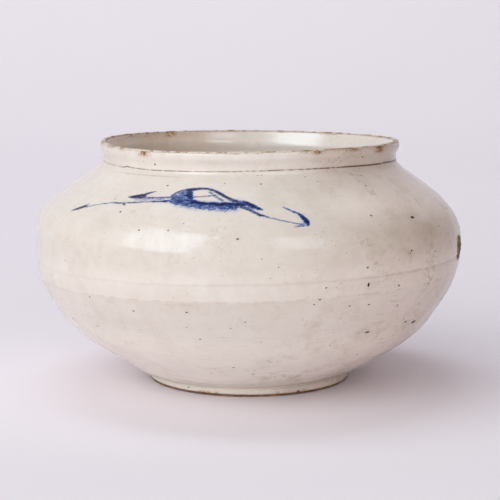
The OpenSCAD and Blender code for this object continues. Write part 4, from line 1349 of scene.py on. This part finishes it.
class JAR_OT_scar(JarOperator):
    """The crusted scar at the right of the belly"""
    bl_idname = "jar.scar"
    bl_label = "Kiln scar"
    # How much lower the crust hangs than its solid, and how many degrees further to the front
    sag, forward = 2.1, 2.0
    # How much further up and down it reaches, and half its width
    over, half_w = 0.6, 4.4
    # How far it stands out at most, and how deep its edge and its back sit in the glaze
    highest, edge_depth, back_depth = 0.78, 0.02, 0.3
    rings, columns = 26, 96

    def execute(self, context):
        shape = Shape()
        low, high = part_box("kiln_scar")
        centre = (low + high) / 2
        middle_turn = math.degrees(math.atan2(centre.x, -centre.y)) - self.forward
        half_h = mm(high.z - low.z) / 2 + self.over
        rings, columns = self.rings, self.columns
        t = np.repeat(np.arange(rings + 1) / rings, columns)
        a = np.tile(math.tau * np.arange(columns) / columns, rings + 1)
        edge = 0.93 + 0.05 * np.sin(2 * a + 1) + 0.035 * np.sin(5 * a) + 0.025 * np.sin(9 * a + 2)
        z = mm(centre.z) - self.sag + edge * t * np.sin(a) * half_h
        turn = middle_turn + np.degrees(edge * t * np.cos(a) * self.half_w / shape.belly_r)
        ground = shape.place(turn, z, shape.skin(z))
        rough = value_noise(ground, 1.5, 9, 4)
        coarse = value_noise(ground, 4.0, 12, 2)
        rise = 0.28 + 0.22 * dome(t, 0.8, 0.12) + 0.16 * rough + 0.12 * coarse
        rise = np.clip(rise * smooth(1.0, 0.86, t), 0.0, self.highest)
        out = outward(turn)
        top = ground + out * (rise - self.edge_depth)[:, None]
        back = ground - out * self.back_depth
        n, last = len(top), rings * columns
        faces = fill_grid(rings + 1, columns)
        faces += [tuple(k + n for k in face[::-1]) for face in faces]
        for j in range(columns):
            k = (j + 1) % columns
            faces.append((last + j, last + n + j, last + n + k, last + k))
        obj = new_object("kiln_scar_crust", np.vstack([top, back]), faces)
        face_outwards(obj, 1e-6)
        finish_piece(obj, iron_look("kiln_crust_look"), "kiln_crust", "kiln_scar")
        return {"FINISHED"}


class JAR_OT_specks(JarOperator):
    """Iron specks and spots in the glaze, and grains of sand along the foot"""
    bl_idname = "jar.specks"
    bl_label = "Specks, spots and grit"
    # How deep a spot's middle sits in the glaze, and half a spot's length as a share of the listed one
    spot_depth, spot_share = 0.02, 0.55
    # Where the grit lies: its height, and how deep in the coat
    grit_z, grit_depth = 0.55, 0.6

    def strew(self, name, tree, host, look, **sizes):
        """Runs a tree on its host and finishes the piece that comes out."""
        finish = iron_look(look)
        seed = bpy.context.scene.jar_marks.seed
        piece = tree.run(host, name, {**sizes, "Seed": seed, "Finish": finish})
        finish_piece(piece, finish, "kiln_crust")

    def spot_points(self, shape, coat):
        """A point on the coat for each large spot, with its directions and sizes."""
        turn, z, width, height = np.array(SPOTS, float).T
        points = shape.place(turn, z, shape.skin(z))
        slope = (shape.skin(z + 0.1) - shape.skin(z - 0.1)) / 0.2
        facing = outward(turn)
        facing[:, 2] = -slope
        facing /= np.linalg.norm(facing, axis=1, keepdims=True)
        points = [coat.closest_point_on_mesh(Vector(p * MM))[1] for p in points + facing]
        obj = new_object("spot_points", np.array(points) / MM - facing * self.spot_depth, [])
        for name, values in (("facing", facing), ("level", outward(turn + 90))):
            layer = obj.data.attributes.new(name, "FLOAT_VECTOR", "POINT")
            layer.data.foreach_set("vector", values.ravel())
        paint(obj, "spot_width", width * MM * self.spot_share)
        paint(obj, "spot_height", height * MM * self.spot_share)
        return obj

    def foot_line(self, shape):
        ring = np.arange(0, 360, 3.0)
        points = outward(ring) * (shape.foot_side(0.6) - shape.coat * self.grit_depth)
        points[:, 2] = self.grit_z
        return new_object("grit_line", points, [], [(i, (i + 1) % len(ring)) for i in range(len(ring))])

    def execute(self, context):
        shape, marks = Shape(), context.scene.jar_marks
        coat = bpy.data.objects["outer_glaze_coat"]
        host = coat.copy()
        context.scene.collection.objects.link(host)
        self.strew("iron_specks", scatter_tree(), host, "iron_speck_look",
                   Density=marks.speck_density, Size=marks.speck_size, Flatness=0.35)
        self.strew("iron_spots", spot_tree(), self.spot_points(shape, coat), "iron_spot_look",
                   Height=marks.spot_height)
        self.strew("foot_grit", grit_tree(), self.foot_line(shape), "foot_grit_look",
                   Count=marks.grit_count, Size=marks.grit_size, Spread=0.00035)
        return {"FINISHED"}


class JAR_OT_body(JarOperator):
    """The clay and slip under the glaze, which keep their solids"""
    bl_idname = "jar.body"
    bl_label = "Clay body and slips"

    def execute(self, context):
        clay, slip = bare_clay("clay_body_look", dark_share=0.2), slip_look()
        looks = {"lower_bowl": clay, "upper_bowl": clay, "foot_slip": slip, "belly_slip": slip,
                 "neck_slip": slip}
        for node, material in looks.items():
            obj = frame["nodes"][node]
            obj.data.materials.clear()
            obj.data.materials.append(material)
        return {"FINISHED"}


class JAR_OT_stage(JarOperator):
    """The seamless paper, the lights and the camera"""
    bl_idname = "jar.stage"
    bl_label = "Studio"
    # The paper's front edge, where it bends up, how tall and half as wide it is, and the bend's radius
    front, bend, tall, half_wide, radius = -2.5, 1.1, 2.9, 4.0, 1.7
    # What the lights are turned to, in metres: the jar's middle, its foot and the paper behind it
    middle, foot, behind = (0, 0, 0.07), (0, 0, 0.03), (-0.25, 1.15, 0.05)
    # Tints of the key light, of the mirrored panels, of the backdrop's light and of the room
    key_tint, panel_tint = (0.93, 1.0, 1.0), (0.72, 0.87, 1.0)
    backdrop_tint, room_tint = (0.82, 0.885, 0.975), (1.0, 0.99, 0.985, 1)

    def sweep(self):
        """Seamless paper that bends up behind the jar."""
        angles = np.linspace(0, math.pi / 2, 25)[1:]
        line = [(self.front, 0.0), (self.bend, 0.0)]
        line += [(self.bend + self.radius * math.sin(t), self.radius - self.radius * math.cos(t))
                 for t in angles]
        line.append((self.bend + self.radius, self.tall))
        points = [(mm(x), mm(y), mm(z)) for x in (-self.half_wide, self.half_wide) for y, z in line]
        n = len(line)
        paper = new_object("studio_sweep", points, [(i, i + n, i + n + 1, i + 1) for i in range(n - 1)])
        paper.data.materials.append(paper_look())

    def around(self, turn, rise, far):
        """A place at a distance from the jar's middle, turned from the front and raised."""
        a, e = math.radians(turn), math.radians(rise)
        return (far * math.sin(a) * math.cos(e), -far * math.cos(a) * math.cos(e),
                far * math.sin(e) + self.middle[2])

    def lamp(self, name, power, size, spot, target, tint, left_out):
        """A softbox that is left out of either the mirrored or the even light."""
        data = bpy.data.lights.new(name, "AREA")
        data.shape, data.size, data.size_y = "RECTANGLE", size[0], size[1]
        data.energy, data.color = power, tint
        obj = bpy.data.objects.new(name, data)
        obj.location = spot
        obj.rotation_euler = (Vector(target) - Vector(spot)).to_track_quat("-Z", "Y").to_euler()
        setattr(obj, left_out, False)
        bpy.context.scene.collection.objects.link(obj)

    def lights(self, look):
        mirrored, even = "visible_glossy", "visible_diffuse"
        left, right = self.around(-50, 38, 1.2), self.around(29, 40, 1.3)
        self.lamp("key_softbox", look.key_power, (1.4, 0.9), self.around(-60, 28, 1.3), self.middle,
                  self.key_tint, mirrored)
        self.lamp("front_softbox", look.front_power, (1.0, 0.35), self.around(0, 10, 1.1), self.foot,
                  (1, 1, 1), mirrored)
        self.lamp("left_panel", look.left_sheen, (0.75, 0.85), left, self.middle, self.panel_tint, even)
        self.lamp("right_panel", look.right_sheen, (0.5, 0.5), right, self.middle, self.panel_tint, even)
        self.lamp("backdrop_light", look.backdrop_power, (1.6, 0.7), (-0.4, 0.75, 2.2), self.behind,
                  self.backdrop_tint, mirrored)

    def room(self, look):
        """A room that is brightest at its window side."""
        world = bpy.data.worlds.new("studio_room")
        world.use_nodes = True
        t = NodeCalls(world.node_tree)
        way = t.node("ShaderNodeVectorMath", {"operation": "NORMALIZE"})
        t.put(way.inputs[0], t.node("ShaderNodeTexCoord").outputs["Generated"])
        facing = t.node("ShaderNodeVectorMath", {"operation": "DOT_PRODUCT"})
        t.put(facing.inputs[0], way)
        t.put(facing.inputs[1], (math.sin(look.window_turn), -math.cos(look.window_turn), 0))
        towards = t.plus(t.times(facing.outputs["Value"], 0.5), 0.5)
        light = t.plus(t.times(t.math("POWER", towards, 2.0), look.window), look.room)
        background = t.tree.nodes["Background"]
        t.put(background.inputs["Strength"], light)
        t.put(background.inputs["Color"], self.room_tint)
        return world

    def camera(self, look):
        data = bpy.data.cameras.new("photo_camera")
        data.lens, data.sensor_width, data.clip_end = look.camera_lens, 36.0, 50.0
        data.shift_x = look.camera_shift
        camera = bpy.data.objects.new("photo_camera", data)
        camera.location = (0, -look.camera_distance, look.camera_height)
        camera.rotation_euler = (math.pi / 2 - look.camera_drop, 0, 0)
        bpy.context.scene.collection.objects.link(camera)
        return camera

    def execute(self, context):
        look = context.scene.jar_studio
        self.sweep()
        self.lights(look)
        context.scene.world = self.room(look)
        context.scene.view_settings.view_transform = "Standard"
        context.scene.camera = self.camera(look)
        return {"FINISHED"}


class JAR_PT_panel(bpy.types.Panel):
    """The jar's operators and sizes, in the sidebar"""
    bl_label = "Jar"
    bl_space_type = "VIEW_3D"
    bl_region_type = "UI"
    bl_category = "Jar"

    def draw(self, context):
        for step in STEPS:
            self.layout.operator(step.bl_idname)
        for name in GROUPS:
            group, box = getattr(context.scene, name), self.layout.box()
            for field in group.__annotations__:
                box.prop(group, field)


GROUPS = {"jar_sizes": JarSizes, "jar_glaze": GlazeLook, "jar_marks": KilnMarks, "jar_studio": StudioLook}
STEPS = (JAR_OT_body, JAR_OT_outer_coat, JAR_OT_inner_coat, JAR_OT_lip_clay, JAR_OT_foot, JAR_OT_scar,
         JAR_OT_specks, JAR_OT_stage)


def register():
    for cls in (*GROUPS.values(), *STEPS, JAR_PT_panel):
        bpy.utils.register_class(cls)
    for name, cls in GROUPS.items():
        setattr(bpy.types.Scene, name, PointerProperty(type=cls))


def unregister():
    for name in GROUPS:
        delattr(bpy.types.Scene, name)
    for cls in (JAR_PT_panel, *reversed(STEPS), *reversed(GROUPS.values())):
        bpy.utils.unregister_class(cls)


def main():
    register()
    for step in STEPS:
        space, name = step.bl_idname.split(".")
        getattr(getattr(bpy.ops, space), name)()


if __name__ == "__main__":
    main()
